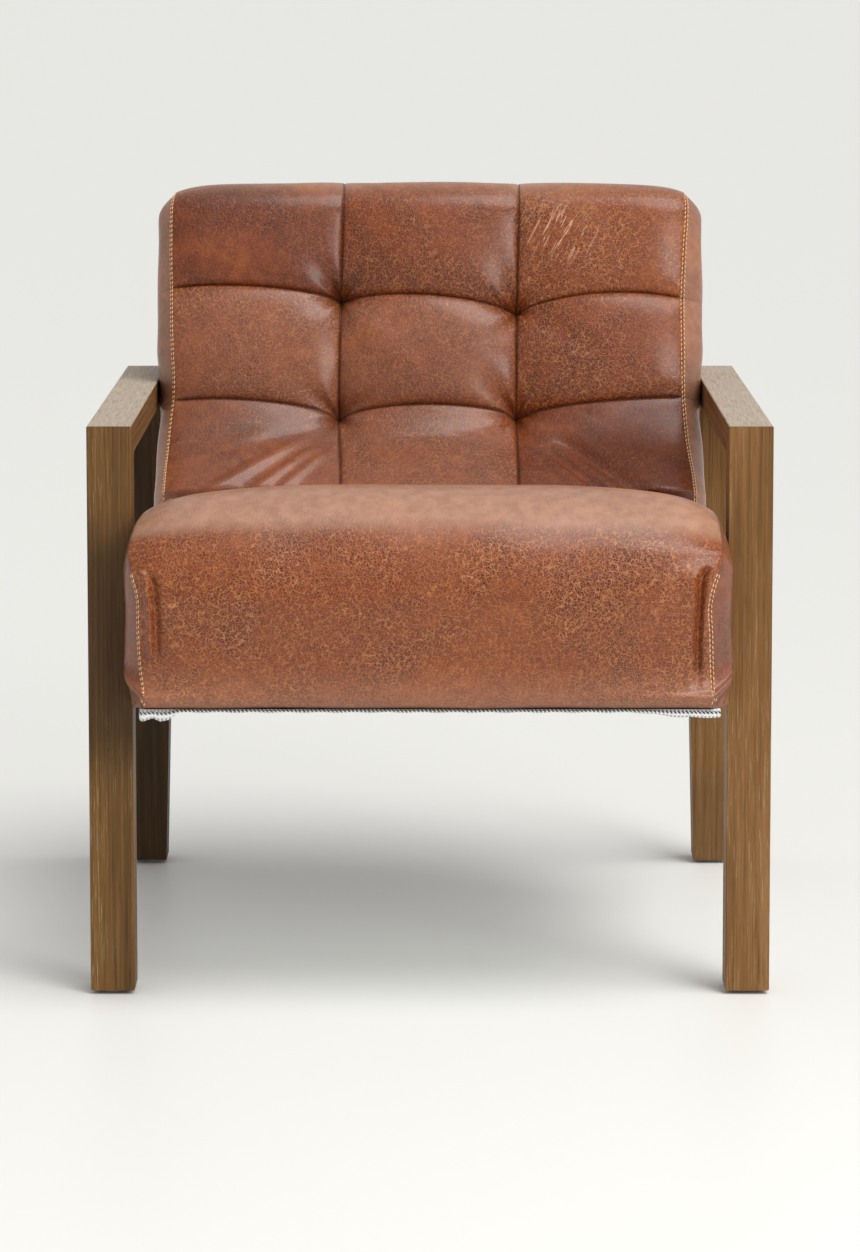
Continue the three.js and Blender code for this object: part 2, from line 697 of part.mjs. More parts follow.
// The origin is under the middle of the whole chair, on the floor.
const bounds = new THREE.Box3().setFromObject(chair, true);
chair.position.set(0, -(bounds.min.y + bounds.max.y) / 2, -bounds.min.z);

export default chair;
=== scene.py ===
"""The looks of an upholstered armchair: a leather seat and a tufted leather back between two oak side frames.

Metres, +Z up, the chair faces -Y. Side outlines are (depth, height): depth is behind the front faces of the
front legs, and height is above the cut ends of the legs.
"""

import json
import math

import bmesh
import bpy
import numpy as np
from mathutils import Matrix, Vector, kdtree

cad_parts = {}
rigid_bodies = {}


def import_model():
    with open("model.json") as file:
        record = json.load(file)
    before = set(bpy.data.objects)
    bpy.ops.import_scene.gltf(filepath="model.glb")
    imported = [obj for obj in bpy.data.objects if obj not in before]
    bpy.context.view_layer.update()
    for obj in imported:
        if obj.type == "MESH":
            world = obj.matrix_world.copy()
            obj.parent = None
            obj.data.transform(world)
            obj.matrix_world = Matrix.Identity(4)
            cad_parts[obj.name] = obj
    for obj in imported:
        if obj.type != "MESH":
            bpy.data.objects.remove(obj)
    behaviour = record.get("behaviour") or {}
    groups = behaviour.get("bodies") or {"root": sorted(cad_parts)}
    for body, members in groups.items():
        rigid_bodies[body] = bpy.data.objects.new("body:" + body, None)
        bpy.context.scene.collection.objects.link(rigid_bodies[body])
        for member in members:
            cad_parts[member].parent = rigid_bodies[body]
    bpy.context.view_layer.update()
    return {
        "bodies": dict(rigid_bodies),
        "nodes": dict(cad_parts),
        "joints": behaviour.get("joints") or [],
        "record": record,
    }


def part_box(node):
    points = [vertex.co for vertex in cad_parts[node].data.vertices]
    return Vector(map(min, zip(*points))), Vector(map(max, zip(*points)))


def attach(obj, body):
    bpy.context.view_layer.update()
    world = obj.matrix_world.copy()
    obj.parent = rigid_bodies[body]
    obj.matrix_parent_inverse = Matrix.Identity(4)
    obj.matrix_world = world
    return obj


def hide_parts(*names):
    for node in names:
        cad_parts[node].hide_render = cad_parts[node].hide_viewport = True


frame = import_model()
bpy.ops.object.select_all(action="DESELECT")
NODES = frame["nodes"]

# ---------------------------------------------------------------- places taken from the frame
LEG_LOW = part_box("front_leg_right")[0]
DEPTH_ZERO = LEG_LOW.y
HEIGHT_ZERO = LEG_LOW.z
ARM_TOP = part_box("arm_right")[1].z
SIDE_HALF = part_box("back_gusset_right")[1].x  # outer face of the leather between the side frames

# ---------------------------------------------------------------- the body's side outline
SEAT_FRONT = (-0.080, 0.299)  # front edge of the underside
SEAT_REAR = 0.310
SEAT_TOP = 0.512  # over depth zero
SEAT_TOP_RAKE = math.radians(8)
SEAT_BASE_RAKE = math.radians(5)
SEAT_FRONT_LEAN = math.radians(5)
NOSE_RADIUS = 0.100
LIP_RADIUS = 0.016

BACK_RAKE = math.radians(18.5)
BACK_DATUM = (0.408, 0.569)
BACK_THICKNESS = 0.135
BACK_RISE = 0.2345
BACK_FRONT_RADIUS = 0.045
BACK_REAR_RADIUS = 0.025
BACK_FOOT_RADIUS = 0.030
LUMBAR_START = -0.055
LUMBAR_RADIUS = 0.100
FLAP_DROP = 0.085
REAR_LEG_RAKE = math.radians(6.4)
JOINT_GAP = 0.0001  # each cushion stands this far off the plane between them
JOINT_BASE_RADIUS = 0.012
JOINT_TOP_RADIUS = 0.006

# ---------------------------------------------------------------- seams
SEAM_HALF = 0.281  # where the side seams lie before they are drawn in or let out
BACK_SEAM_X = 0.095
BACK_SEAM_UPPER = 0.102
BACK_SEAM_LOWER = -0.022
STITCH_PITCH = 0.0052
STITCH_LENGTH = 0.0041
STITCH_RADIUS = 0.00062
STITCH_SLANT = 8.0  # degrees
STITCH_SIDES = 6
# Rings of one stitch: a share of its length from its middle, then its thickness and its rise in radii.
STITCH_RINGS = [(-0.5, 0.55, -0.9), (-0.36, 1.0, 0.1), (0.0, 1.05, 0.45), (0.36, 1.0, 0.1), (0.5, 0.55, -0.9)]
SEAM_THREAD = {"pitch": 0.0044, "length": 0.0027, "radius": 0.0003, "slant": 0.0}
TOPSTITCH_OFFSET = {"left": 0.0013, "right": 0.0017}  # of each row from the seam
SHOULDER_HEIGHT = 0.437  # no topstitching from here, up the seat's front,
SHOULDER_DEPTH = 0.06  # to here, along its top
TOPSTITCH_REAR = 0.30
LIP_OVERRUN = 0.012  # how far stitches run on under the seat
CREASE_OVERRUN = 0.030  # and down behind it


# ---------------------------------------------------------------- small sums
def smooth(t):
    t = np.clip(t, 0.0, 1.0)
    return t * t * (3 - 2 * t)


def bell(t, width):
    return np.exp(-((t / width) ** 2))


def arch(t):
    t = np.clip(t, 0.0, 1.0)
    return 4 * t * (1 - t)


def curve_through(points, at):
    """A smooth line through a few (place, value) points, flat past its ends."""
    x = np.array([p[0] for p in points], float)
    y = np.array([p[1] for p in points], float)
    slope = np.gradient(y, x)
    at = np.clip(at, x[0], x[-1])
    k = np.clip(np.searchsorted(x, at) - 1, 0, len(x) - 2)
    span = x[k + 1] - x[k]
    t = (at - x[k]) / span
    low = y[k] * (1 + 2 * t) * (1 - t) ** 2 + slope[k] * span * t * (1 - t) ** 2
    high = y[k + 1] * t * t * (3 - 2 * t) + slope[k + 1] * span * t * t * (t - 1)
    return low + high


def spaced(stops, coarse, fine, growth, focus):
    """Places from the first stop to the last, through each stop, and closer together near a focus."""
    places = [np.array([stops[0]])]
    for start, end in zip(stops, stops[1:]):
        t = np.linspace(start, end, 600)
        near = np.abs(t[:, None] - np.array(focus)).min(axis=1)
        step = np.minimum(coarse, fine + growth * near)
        count = np.concatenate([[0], np.cumsum((1 / step[1:] + 1 / step[:-1]) / 2 * np.diff(t))])
        steps = max(1, int(round(count[-1])))
        places.append(np.interp(np.linspace(0, count[-1], steps + 1)[1:], count, t))
    return np.concatenate(places)


def seat_base(depth):
    return SEAT_FRONT[1] - (depth - SEAT_FRONT[0]) * math.tan(SEAT_BASE_RAKE)


def seat_top(depth):
    return SEAT_TOP - depth * math.tan(SEAT_TOP_RAKE)


def on_back(behind, along):
    depth = BACK_DATUM[0] + behind * math.cos(BACK_RAKE) + along * math.sin(BACK_RAKE)
    height = BACK_DATUM[1] - behind * math.sin(BACK_RAKE) + along * math.cos(BACK_RAKE)
    return depth, height


def back_meets_base(behind):
    start = on_back(behind, 0)
    run = start[1] - seat_base(start[0])
    along = -run / (math.cos(BACK_RAKE) + math.sin(BACK_RAKE) * math.tan(SEAT_BASE_RAKE))
    return on_back(behind, along)


# ---------------------------------------------------------------- outlines
class Outline:
    """A closed outline in (depth, height), anticlockwise from +X. Its corners (d, h, radius) are rounded."""

    def __init__(self, corners):
        points = []
        for i, (d, h, r) in enumerate(corners):
            middle = np.array([d, h])
            if r == 0:
                points.append(middle)
                continue
            before = np.array(corners[i - 1][:2]) - middle
            after = np.array(corners[(i + 1) % len(corners)][:2]) - middle
            before /= np.linalg.norm(before)
            after /= np.linalg.norm(after)
            half = math.acos(np.clip(before @ after, -1, 1)) / 2
            bisector = before + after
            centre = middle + bisector / np.linalg.norm(bisector) * r / math.sin(half)
            start = middle + before * r / math.tan(half) - centre
            turn = (math.pi - 2 * half) * -np.sign(before[0] * after[1] - before[1] * after[0])
            for t in np.linspace(0, 1, max(3, int(abs(turn) / math.radians(3)))):
                c, s = math.cos(turn * t), math.sin(turn * t)
                points.append(centre + [start[0] * c - start[1] * s, start[0] * s + start[1] * c])
        self.points = np.array(points + [points[0]])
        steps = np.linalg.norm(np.diff(self.points, axis=0), axis=1)
        self.run = np.concatenate([[0], np.cumsum(steps)])
        self.length = self.run[-1]

    def at(self, run):
        run = np.mod(run, self.length)
        return np.stack([np.interp(run, self.run, self.points[:, k]) for k in (0, 1)], axis=-1)

    def outwards(self, run, reach=0.004):
        along = self.at(run + reach) - self.at(run - reach)
        normal = np.stack([along[..., 1], -along[..., 0]], axis=-1)
        return normal / np.linalg.norm(normal, axis=-1, keepdims=True)

    def nearest(self, depth, height):
        run = np.linspace(0, self.length, 4000)
        return float(run[np.argmin(np.linalg.norm(self.at(run) - [depth, height], axis=1))])


def seat_outline():
    lean, fall = math.tan(SEAT_FRONT_LEAN), math.tan(SEAT_TOP_RAKE)
    top = (SEAT_TOP + (-SEAT_FRONT[0] - SEAT_FRONT[1] * lean) * fall) / (1 - lean * fall)
    nose = (SEAT_FRONT[0] - (top - SEAT_FRONT[1]) * lean, top)
    rear = SEAT_REAR - JOINT_GAP
    return Outline(
        [
            (*SEAT_FRONT, LIP_RADIUS),
            (rear, seat_base(rear), JOINT_BASE_RADIUS),
            (rear, seat_top(rear), JOINT_TOP_RADIUS),
            (*nose, NOSE_RADIUS),
        ]
    )


def back_outline():
    front = SEAT_REAR + JOINT_GAP
    return Outline(
        [
            (front, seat_base(front), JOINT_BASE_RADIUS),
            (*back_meets_base(BACK_THICKNESS), BACK_FOOT_RADIUS),
            (*on_back(BACK_THICKNESS, BACK_RISE), BACK_REAR_RADIUS),
            (*on_back(0, BACK_RISE), BACK_FRONT_RADIUS),
            (*on_back(0, LUMBAR_START), LUMBAR_RADIUS),
            (front, seat_top(front), JOINT_TOP_RADIUS),
        ]
    )


# ---------------------------------------------------------------- building a boxed cushion
# Rings of a gusset, from its seam inwards: a share of the way to the spine, and metres.
GUSSET_RINGS = [(0, d) for d in (0.0012, 0.0026, 0.0045, 0.007, 0.010, 0.014, 0.019, 0.025, 0.032, 0.040)]
GUSSET_RINGS += [(0.15, 0.040), (0.35, 0.035), (0.6, 0.025), (0.85, 0.012)]
# Stitch lines and painted shade in the tuft pits, painted sheen and a painted highlight with a paler bottom
# edge of the seat's front, strength of the grain, pale stretch lines, and painted shade on the lower right of
# the back.
MASKS = ("seam", "painted_sheen_and_pale_edge", "grain", "fan", "deep")

PLY_COVER = 0.0012  # how far the leather lies outside the plywood
PLY_FALL = 1.6  # how steeply it falls away past the plywood's edges


def over_plywood(sign, place):
    """The least half width of a gusset: just over the plywood, and falling away past its edges."""
    side = NODES["frame_side_left" if sign < 0 else "frame_side_right"]
    low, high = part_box(side.name)
    face = max(abs(low.x), abs(high.x))
    reach = []
    for depth, height in place:
        point = Vector((sign * (face + 0.0001), depth + DEPTH_ZERO, height + HEIGHT_ZERO))
        found = side.closest_point_on_mesh(point)[1]
        reach.append(face + PLY_COVER - PLY_FALL * math.hypot(found.y - point.y, found.z - point.z))
    return np.array(reach)


class BoxedCushion:
    """A closed cushion: one panel right round its outline, and a gusset on each side that closes it.

    run is a place round the outline, and across is a place over the panel before its seams are drawn in.
    panel(run, across) gives x, the run it is moved to, how far it stands out, and masks.
    gusset(sign, inwards, run, edge, place) gives x and masks at a distance inwards from the side seam.
    """

    def panel_points(self, run, across):
        x, moved, out, masks = self.panel(run, across)
        flat = self.outline.at(moved) + self.outline.outwards(moved) * out[..., None]
        return np.stack([x, flat[..., 0] + DEPTH_ZERO, flat[..., 1] + HEIGHT_ZERO], axis=-1), masks

    def gusset_points(self, sign, run, share, fixed):
        seam = self.panel_points(run, np.full(len(run), sign * SEAM_HALF))[0]
        flat = seam[:, 1:] - [DEPTH_ZERO, HEIGHT_ZERO]
        start, end = self.spine
        t = np.clip((flat - start) @ (end - start) / ((end - start) @ (end - start)), 0, 1)
        goal = start + t[:, None] * (end - start)
        reach = np.linalg.norm(goal - flat, axis=1)
        inwards = np.minimum(fixed + share * reach, 0.985 * reach)
        place = flat + (goal - flat) * (inwards / reach)[:, None]
        x, masks = self.gusset(sign, inwards, run, np.abs(seam[:, 0]), place)
        x = np.maximum(x, over_plywood(sign, place) * smooth(inwards / GUSSET_RINGS[0][1]))
        return np.column_stack([sign * x, place[:, 0] + DEPTH_ZERO, place[:, 1] + HEIGHT_ZERO]), masks

    def turned(self, run, inwards, edge, outer, turn, painted_sheen_and_pale_edge, grain):
        """The gusset's half width as it turns from the seam out to its full width, and its masks."""
        turn = turn + (HARD_TURN - turn) * self.on_ply(run)
        x = edge + (outer - edge) * np.sin(np.clip(inwards / turn, 0, 1) * math.pi / 2)
        masks = {"seam": 0.4 * bell(inwards, 0.0016), "painted_sheen_and_pale_edge": painted_sheen_and_pale_edge, "grain": np.full(len(run), grain)}
        return x - 0.0010 * bell(inwards, 0.0020), masks

    def build(self):
        run, across = np.meshgrid(self.rows, self.columns, indexing="ij")
        panel, masks = self.panel_points(run, across)
        count, width = run.shape
        points = [panel.reshape(-1, 3)]
        layers = {key: [masks.get(key, np.zeros(run.shape)).reshape(-1)] for key in (*MASKS, "held")}
        here, following = np.arange(count), (np.arange(count) + 1) % count
        faces = []
        for j in range(width - 1):
            a, b = here * width + j, following * width + j
            faces += np.stack([a, b, b + 1, a + 1], axis=1).tolist()
        total = count * width
        for sign, column in ((-1, 0), (1, width - 1)):
            before = here * width + column
            for share, fixed in GUSSET_RINGS:
                ring_points, ring_masks = self.gusset_points(sign, self.rows, share, fixed)
                points.append(ring_points)
                for key in MASKS:
                    layers[key].append(ring_masks.get(key, np.zeros(count)))
                layers["held"].append(np.ones(count))
                ring = total + here
                total += count
                faces += np.stack([before, before[following], ring[following], ring], axis=1).tolist()
                before = ring
            faces.append(before.tolist())
        mesh = bpy.data.meshes.new(self.name)
        points = np.concatenate(points)
        layers = {key: np.concatenate(values) for key, values in layers.items()}
        mesh.from_pydata(points.tolist(), [], faces)
        for key in MASKS:
            layer = mesh.attributes.new(key, "FLOAT", "POINT")
            layer.data.foreach_set("value", layers[key].astype(np.float32))
        bm = bmesh.new()
        bm.from_mesh(mesh)
        bmesh.ops.triangulate(bm, faces=[f for f in bm.faces if len(f.verts) > 4])
        bmesh.ops.recalc_face_normals(bm, faces=bm.faces)
        bm.to_mesh(mesh)
        bm.free()
        piece = bpy.data.objects.new(self.name, mesh)
        bpy.context.scene.collection.objects.link(piece)
        fill_leather(piece, points, layers["held"], self.grip, self.reach)
        subdivide(piece, 1)
        shade_smooth(piece)
        self.piece = piece
        return piece

    def on_leather(self, points):
        """The nearest places on the finished leather, and its outward normals there."""
        found = [self.piece.closest_point_on_mesh(Vector(point)) for point in points]
        return np.array([place for _, place, _, _ in found]), np.array([normal for _, _, normal, _ in found])

    def line_on_panel(self, runs, across):
        return self.on_leather(self.panel_points(runs, across)[0])

    def line_on_gusset(self, sign, runs, inwards):
        return self.on_leather(self.gusset_points(sign, runs, 0, inwards)[0])


CLOTH_CELL = 0.0052
CLOTH_FRAMES = 16
LEATHER_FEEL = {
    "quality": 6,
    "mass": 0.4,
    "tension_stiffness": 25.0,
    "compression_stiffness": 25.0,
    "shear_stiffness": 10.0,
    "bending_stiffness": 0.6,
    "use_pressure": True,
    "uniform_pressure_force": 4.0,
    "pin_stiffness": 1.0,
}
CLOSEST = 4  # how many places of the coarse copy move a place of the piece


def near_points(tree, points, count):
    return [tree.find_n(Vector(point), count) for point in points]


def tree_of(points):
    tree = kdtree.KDTree(len(points))
    for index, point in enumerate(points):
        tree.insert(Vector(point), index)
    tree.balance()
    return tree


def fill_leather(piece, points, held, grip, reach):
    """Simulates a coarse copy as cloth, blown up from inside, and moves the piece as the copy moved.

    held is 1 where the leather can't move, grip is the least hold anywhere, and reach caps the movement.
    """
    scene = bpy.context.scene
    coarse = piece.copy()
    coarse.data = piece.data.copy()
    scene.collection.objects.link(coarse)
    choose(coarse)
    remesh = coarse.modifiers.new("even cells", "REMESH")
    remesh.mode = "VOXEL"
    remesh.voxel_size = CLOTH_CELL
    bpy.ops.object.modifier_apply(modifier=remesh.name)
    before = np.empty(len(coarse.data.vertices) * 3)
    coarse.data.vertices.foreach_get("co", before)
    before = before.reshape(-1, 3)
    nearest = [found[0][1] for found in near_points(tree_of(points), before, 1)]
    hold = coarse.vertex_groups.new(name="held")
    for index, source in enumerate(nearest):
        hold.add([index], float(max(held[source], grip)), "REPLACE")
    cloth = coarse.modifiers.new("leather", "CLOTH")
    cloth.collision_settings.use_collision = False
    cloth.point_cache.frame_start = 1
    cloth.point_cache.frame_end = CLOTH_FRAMES
    for key, value in LEATHER_FEEL.items():
        setattr(cloth.settings, key, value)
    cloth.settings.effector_weights.gravity = 0.0
    cloth.settings.vertex_group_mass = hold.name
    for frame in range(1, CLOTH_FRAMES + 1):
        scene.frame_set(frame)
    result = coarse.evaluated_get(bpy.context.evaluated_depsgraph_get()).to_mesh()
    after = np.empty(before.size)
    result.vertices.foreach_get("co", after)
    move = after.reshape(-1, 3) - before
    scene.frame_set(1)
    bpy.data.objects.remove(coarse)
    length = np.linalg.norm(move, axis=1, keepdims=True)
    move *= reach * np.tanh(length / reach) / np.maximum(length, 1e-9)
    shifted = points.copy()
    for index, found in enumerate(near_points(tree_of(before), points, CLOSEST)):
        weights = np.array([1 / (distance + 0.001) ** 2 for _, _, distance in found])
        pull = (move[[source for _, source, _ in found]] * weights[:, None]).sum(axis=0) / weights.sum()
        shifted[index] += pull * (1 - held[index])
    piece.data.vertices.foreach_set("co", shifted.ravel())
    piece.data.update()


def choose(piece):
    bpy.ops.object.select_all(action="DESELECT")
    piece.select_set(True)
    bpy.context.view_layer.objects.active = piece


def subdivide(piece, levels):
    choose(piece)
    modifier = piece.modifiers.new("finer", "SUBSURF")
    modifier.levels = levels
    modifier.render_levels = levels
    bpy.ops.object.modifier_apply(modifier=modifier.name)


def shade_smooth(piece):
    piece.data.polygons.foreach_set("use_smooth", [True] * len(piece.data.polygons))


def leather_waves(x, depth, height):
    """Slow unevenness of leather over foam."""
    wave = np.sin(x * 21 + 1.3) * np.sin(height * 33 + depth * 17 + 0.4)
    return 0.0008 * wave + 0.0005 * np.sin(x * 47 + height * 29) * np.sin(depth * 41 + 2.0)


# ---------------------------------------------------------------- seat cushion
# Half width of the side seam: (height, half width) up the front, and (depth, half width) along the top.
SEAT_SEAM_FRONT = {
    -1: [(0.299, 0.281), (0.330, 0.2838), (0.370, 0.2862), (0.412, 0.287), (0.428, 0.2905), (0.445, 0.2945)],
    1: [(0.299, 0.2775), (0.335, 0.2762), (0.370, 0.2750), (0.400, 0.2736), (0.415, 0.2758), (0.445, 0.2845)],
}
SEAT_SEAM_TOP = {
    -1: [(-0.040, 0.2925), (0.000, 0.286), (0.040, 0.281), (0.090, 0.2785), (0.300, 0.279)],
    1: [(-0.040, 0.2862), (0.000, 0.2842), (0.040, 0.280), (0.090, 0.277), (0.300, 0.278)],
}
SEAT_BULGE = {-1: 0.0062, 1: 0.0032}  # how far a gusset stands out in front of the legs
HARD_HALF = 0.2940  # half width where the leather lies on the plywood
HARD_TURN = 0.0045  # how fast it turns round the plywood's edge
SOFT_TURN = 0.034  # and round the foam's edge
# Folds of the seat's front corners: (x, from height, to height, width, rise).
SEAT_PUCKERS = [
    (-0.2740, 0.340, 0.441, 0.0030, 0.0052),
    (-0.2672, 0.335, 0.436, 0.0036, -0.0056),
    (-0.2812, 0.385, 0.440, 0.0018, 0.0018),
    (-0.2590, 0.370, 0.440, 0.0060, 0.0018),
    (0.2618, 0.312, 0.444, 0.0030, -0.0072),
    (0.2685, 0.325, 0.446, 0.0036, 0.0030),
    (0.2520, 0.350, 0.440, 0.0070, 0.0022),
    (0.2730, 0.405, 0.442, 0.0042, 0.0034),
]


def seat_puckers(x, height):
    rise = np.zeros_like(x)
    for at, low, high, width, amount in SEAT_PUCKERS:
        t = (height - low) / (high - low)
        bow = np.sign(at) * (0.002 * smooth((t - 0.4) / 0.4) + 0.010 * np.clip((t - 0.84) / 0.16, 0, 1) ** 2)
        rise = rise + amount * bell(x - at - bow, width) * smooth(t / 0.25) * smooth((1 - t) / 0.06)
    return rise


class SeatCushion(BoxedCushion):
    name = "seat_cushion"
    grip, reach = 0.30, 0.0030
    spine = np.array([[0.02, 0.385], [0.215, 0.362]])

    def __init__(self):
        self.outline = seat_outline()
        self.base_rear = self.outline.nearest(SEAT_REAR, seat_base(SEAT_REAR))
        self.top_rear = self.outline.nearest(SEAT_REAR, seat_top(SEAT_REAR))
        self.seam_table = {}
        for sign in (-1, 1):
            front = [(self.front_run(height), half) for height, half in SEAT_SEAM_FRONT[sign]]
            top = [(self.top_run(depth), half) for depth, half in SEAT_SEAM_TOP[sign]]
            self.seam_table[sign] = sorted(front + top)
        length = self.outline.length
        base, rear = [0.0, self.base_rear], [self.base_rear, self.top_rear]
        self.rows = np.concatenate(
            [
                spaced(base, 0.012, 0.004, 0.3, base)[:-1],
                spaced(rear, 0.014, 0.004, 0.3, rear)[:-1],
                spaced([self.top_rear, length], 0.0045, 0.0025, 0.05, [self.front_run(0.43), length])[:-1],
            ]
        )
        self.columns = spaced([-SEAM_HALF, SEAM_HALF], 0.0050, 0.0010, 0.11, [-SEAM_HALF, SEAM_HALF])

    def front_run(self, height):
        runs = np.linspace(self.top_rear, self.outline.length, 3000)
        at = self.outline.at(runs)
        return float(runs[np.argmin(np.abs(at[:, 1] - height) + 10 * (at[:, 0] > -0.02))])

    def top_run(self, depth):
        runs = np.linspace(self.top_rear, self.outline.length, 3000)
        at = self.outline.at(runs)
        return float(runs[np.argmin(np.abs(at[:, 0] - depth) + 10 * (at[:, 1] < 0.44))])

    def on_ply(self, run):
        """1 where the leather lies on the plywood: under the seat and behind it, but not under the nose."""
        depth = self.outline.at(run)[..., 0]
        return smooth((self.top_rear - 0.05 - run) / 0.03) * smooth((depth + 0.062) / 0.012)

    def half_width(self, sign, run):
        half = curve_through(self.seam_table[sign], run)
        lip = self.seam_table[sign][-1][1]
        under = smooth((self.base_rear - run) / 0.02)
        half = half + (lip - half) * under
        return half + (HARD_HALF - half) * self.on_ply(run)

    def drop(self, run, share):
        """How far the foam's crown falls towards the side seams."""
        place = self.outline.at(run)
        top = smooth((place[..., 1] - 0.42) / 0.07)
        front = smooth(-place[..., 0] / 0.05) * smooth((place[..., 1] - 0.300) / 0.03)
        full = np.maximum(0.58 * front, top) * smooth((run - self.base_rear) / 0.05)
        return (0.013 * share**2.6 + 0.0145 * share**12) * full

    def panel(self, run, across):
        share = np.abs(across) / SEAM_HALF
        x = across / SEAM_HALF * np.where(across < 0, self.half_width(-1, run), self.half_width(1, run))
        place = self.outline.at(run)
        depth, height = place[..., 0], place[..., 1]
        front = smooth((0.03 - depth) / 0.06) * smooth((height - 0.29) / 0.02)
        seam = SEAM_HALF - np.abs(across)
        out = -self.drop(run, share)
        out = out - 0.0016 * bell(seam, 0.0014) * smooth((run - self.base_rear) / 0.02)
        out = out + seat_puckers(x, height) * front
        out = out + 0.004 * bell(height - 0.395, 0.045) * smooth(-depth / 0.05) * (1 - share**4)
        out = out + leather_waves(x, depth, height)
        # The paler top band is a painted sheen, and the bottom of the front is paler too.
        top = smooth((height - 0.468) / 0.020)
        edge = smooth((0.350 - height) / 0.045) * smooth(-depth / 0.03)
        held = np.max([smooth(1 - seam / 0.010), self.on_ply(run), smooth((depth - 0.20) / 0.04),
                       smooth((0.325 - height) / 0.02)], axis=0)
        masks = {
            "seam": 0.4 * bell(seam, 0.0009),
            "painted_sheen_and_pale_edge": np.maximum(top, 0.30 * edge),
            "grain": 1.0 - 0.8 * top,
            "held": held,
        }
        return x, run, out, masks

    def gusset(self, sign, inwards, run, edge, place):
        depth, height = place[:, 0], place[:, 1]
        low = smooth((0.330 - height) / 0.030)
        outer = SIDE_HALF - 0.0002 + SEAT_BULGE[sign] * smooth((-0.004 - depth) / 0.020) * (1 - low)
        outer = outer - 0.0008 * (1 + np.sin(height * 70 + depth * 23)) * smooth((inwards - 0.01) / 0.03)
        outer = outer - low * (0.0006 + 0.0060 * smooth((-0.052 - depth) / 0.016))
        # Paler gusset, most at its top front shoulder: painted sheen and a painted highlight.
        pale = smooth((height - 0.40) / 0.05) * smooth((depth + 0.03) / 0.04)
        return self.turned(run, inwards, edge, outer, SOFT_TURN, 0.18 + 0.7 * pale, 0.25)


# ---------------------------------------------------------------- back cushion
# Cross seams, along the back: at the left side seam, both tufts and the right side seam, and how far each of
# the three spans between them arches up.
UPPER_SEAM = [(0.110, 0.0985, 0.0855, 0.0985), (0.0065, 0.0095, 0.0110)]
LOWER_SEAM = [(-0.0150, -0.0290, -0.0285, -0.0110), (0.0065, 0.0088, 0.0030)]
# Upright seams: (along, x).
UPRIGHT_SEAMS = {
    -1: [(-0.150, -0.0950), (-0.104, -0.0955), (-0.029, -0.0984), (0.099, -0.0967), (0.217, -0.0936)],
    1: [(-0.150, 0.0940), (-0.104, 0.0939), (-0.029, 0.0930), (0.085, 0.0935), (0.217, 0.0968)],
}
# Side seams: (along, half width).
BACK_SIDE_SEAMS = {
    -1: [(-0.150, 0.2835), (-0.092, 0.2828), (-0.055, 0.2810), (-0.005, 0.2768), (0.036, 0.2788),
         (0.096, 0.2806), (0.152, 0.2815), (0.209, 0.2806), (0.225, 0.279)],
    1: [(-0.150, 0.2822), (-0.114, 0.2812), (-0.059, 0.2763), (-0.015, 0.2738), (0.041, 0.2732),
        (0.096, 0.2735), (0.152, 0.2762), (0.209, 0.2796), (0.225, 0.279)],
}
CREASE = -0.150  # along the back, where it meets the seat
SEAMS_ACROSS = [-SEAM_HALF, -BACK_SEAM_X, BACK_SEAM_X, SEAM_HALF]
SEAMS_ALONG = [CREASE, BACK_SEAM_LOWER, BACK_SEAM_UPPER, 0.240]
# How strongly the hide's grain shows on each panel, left to right, from the bottom row up.
PANEL_GRAIN = [(0.35, 0.55, 0.25), (0.75, 0.60, 0.75), (0.30, 0.65, 1.0)]
ROW_PUFF = (0.15, 1.0, 0.8)  # from the bottom row up
PUFF_HALF = 0.400  # the outer panels' swelling runs on past the side seams
# Folds across the back's panels: (x, along) of both ends, width, rise.
BACK_FOLDS = [
    ((-0.118, -0.050), (-0.232, -0.150), 0.0085, 0.0050),
    ((-0.105, -0.058), (-0.195, -0.160), 0.0065, 0.0050),
    ((-0.100, -0.070), (-0.160, -0.150), 0.0055, 0.0042),
    ((0.122, -0.045), (0.225, -0.150), 0.0110, -0.0070),
    ((0.112, -0.060), (0.185, -0.150), 0.0075, -0.0058),
    ((0.104, -0.075), (0.150, -0.150), 0.0060, -0.0030),
    ((0.120, 0.070), (0.185, 0.035), 0.0090, -0.0016),
    ((-0.075, 0.075), (-0.030, 0.030), 0.0090, 0.0016),
    ((0.105, 0.110), (0.160, 0.165), 0.0060, -0.0018),
    ((0.100, 0.112), (0.128, 0.170), 0.0045, -0.0014),
]


def span_seam(seam, x):
    """How far along the back a cross seam lies, at x."""
    places, arches = seam
    along = np.interp(x, SEAMS_ACROSS, places)
    for start, end, rise in zip(SEAMS_ACROSS, SEAMS_ACROSS[1:], arches):
        along = along + rise * arch((x - start) / (end - start))
    return along


def folds(x, along):
    rise = np.zeros_like(x)
    for (x0, a0), (x1, a1), width, amount in BACK_FOLDS:
        dx, da = x1 - x0, a1 - a0
        t = ((x - x0) * dx + (along - a0) * da) / (dx * dx + da * da)
        off = ((x - x0) * da - (along - a0) * dx) / math.hypot(dx, da)
        rise = rise + amount * bell(off, width) * smooth(t / 0.35) * smooth((1.35 - t) / 0.35)
    return rise


def valley(off):
    """How far a seam draws the leather in, at a distance from it."""
    return 0.0024 * np.exp(-off / 0.009) + 0.0018 * bell(off, 0.0011)


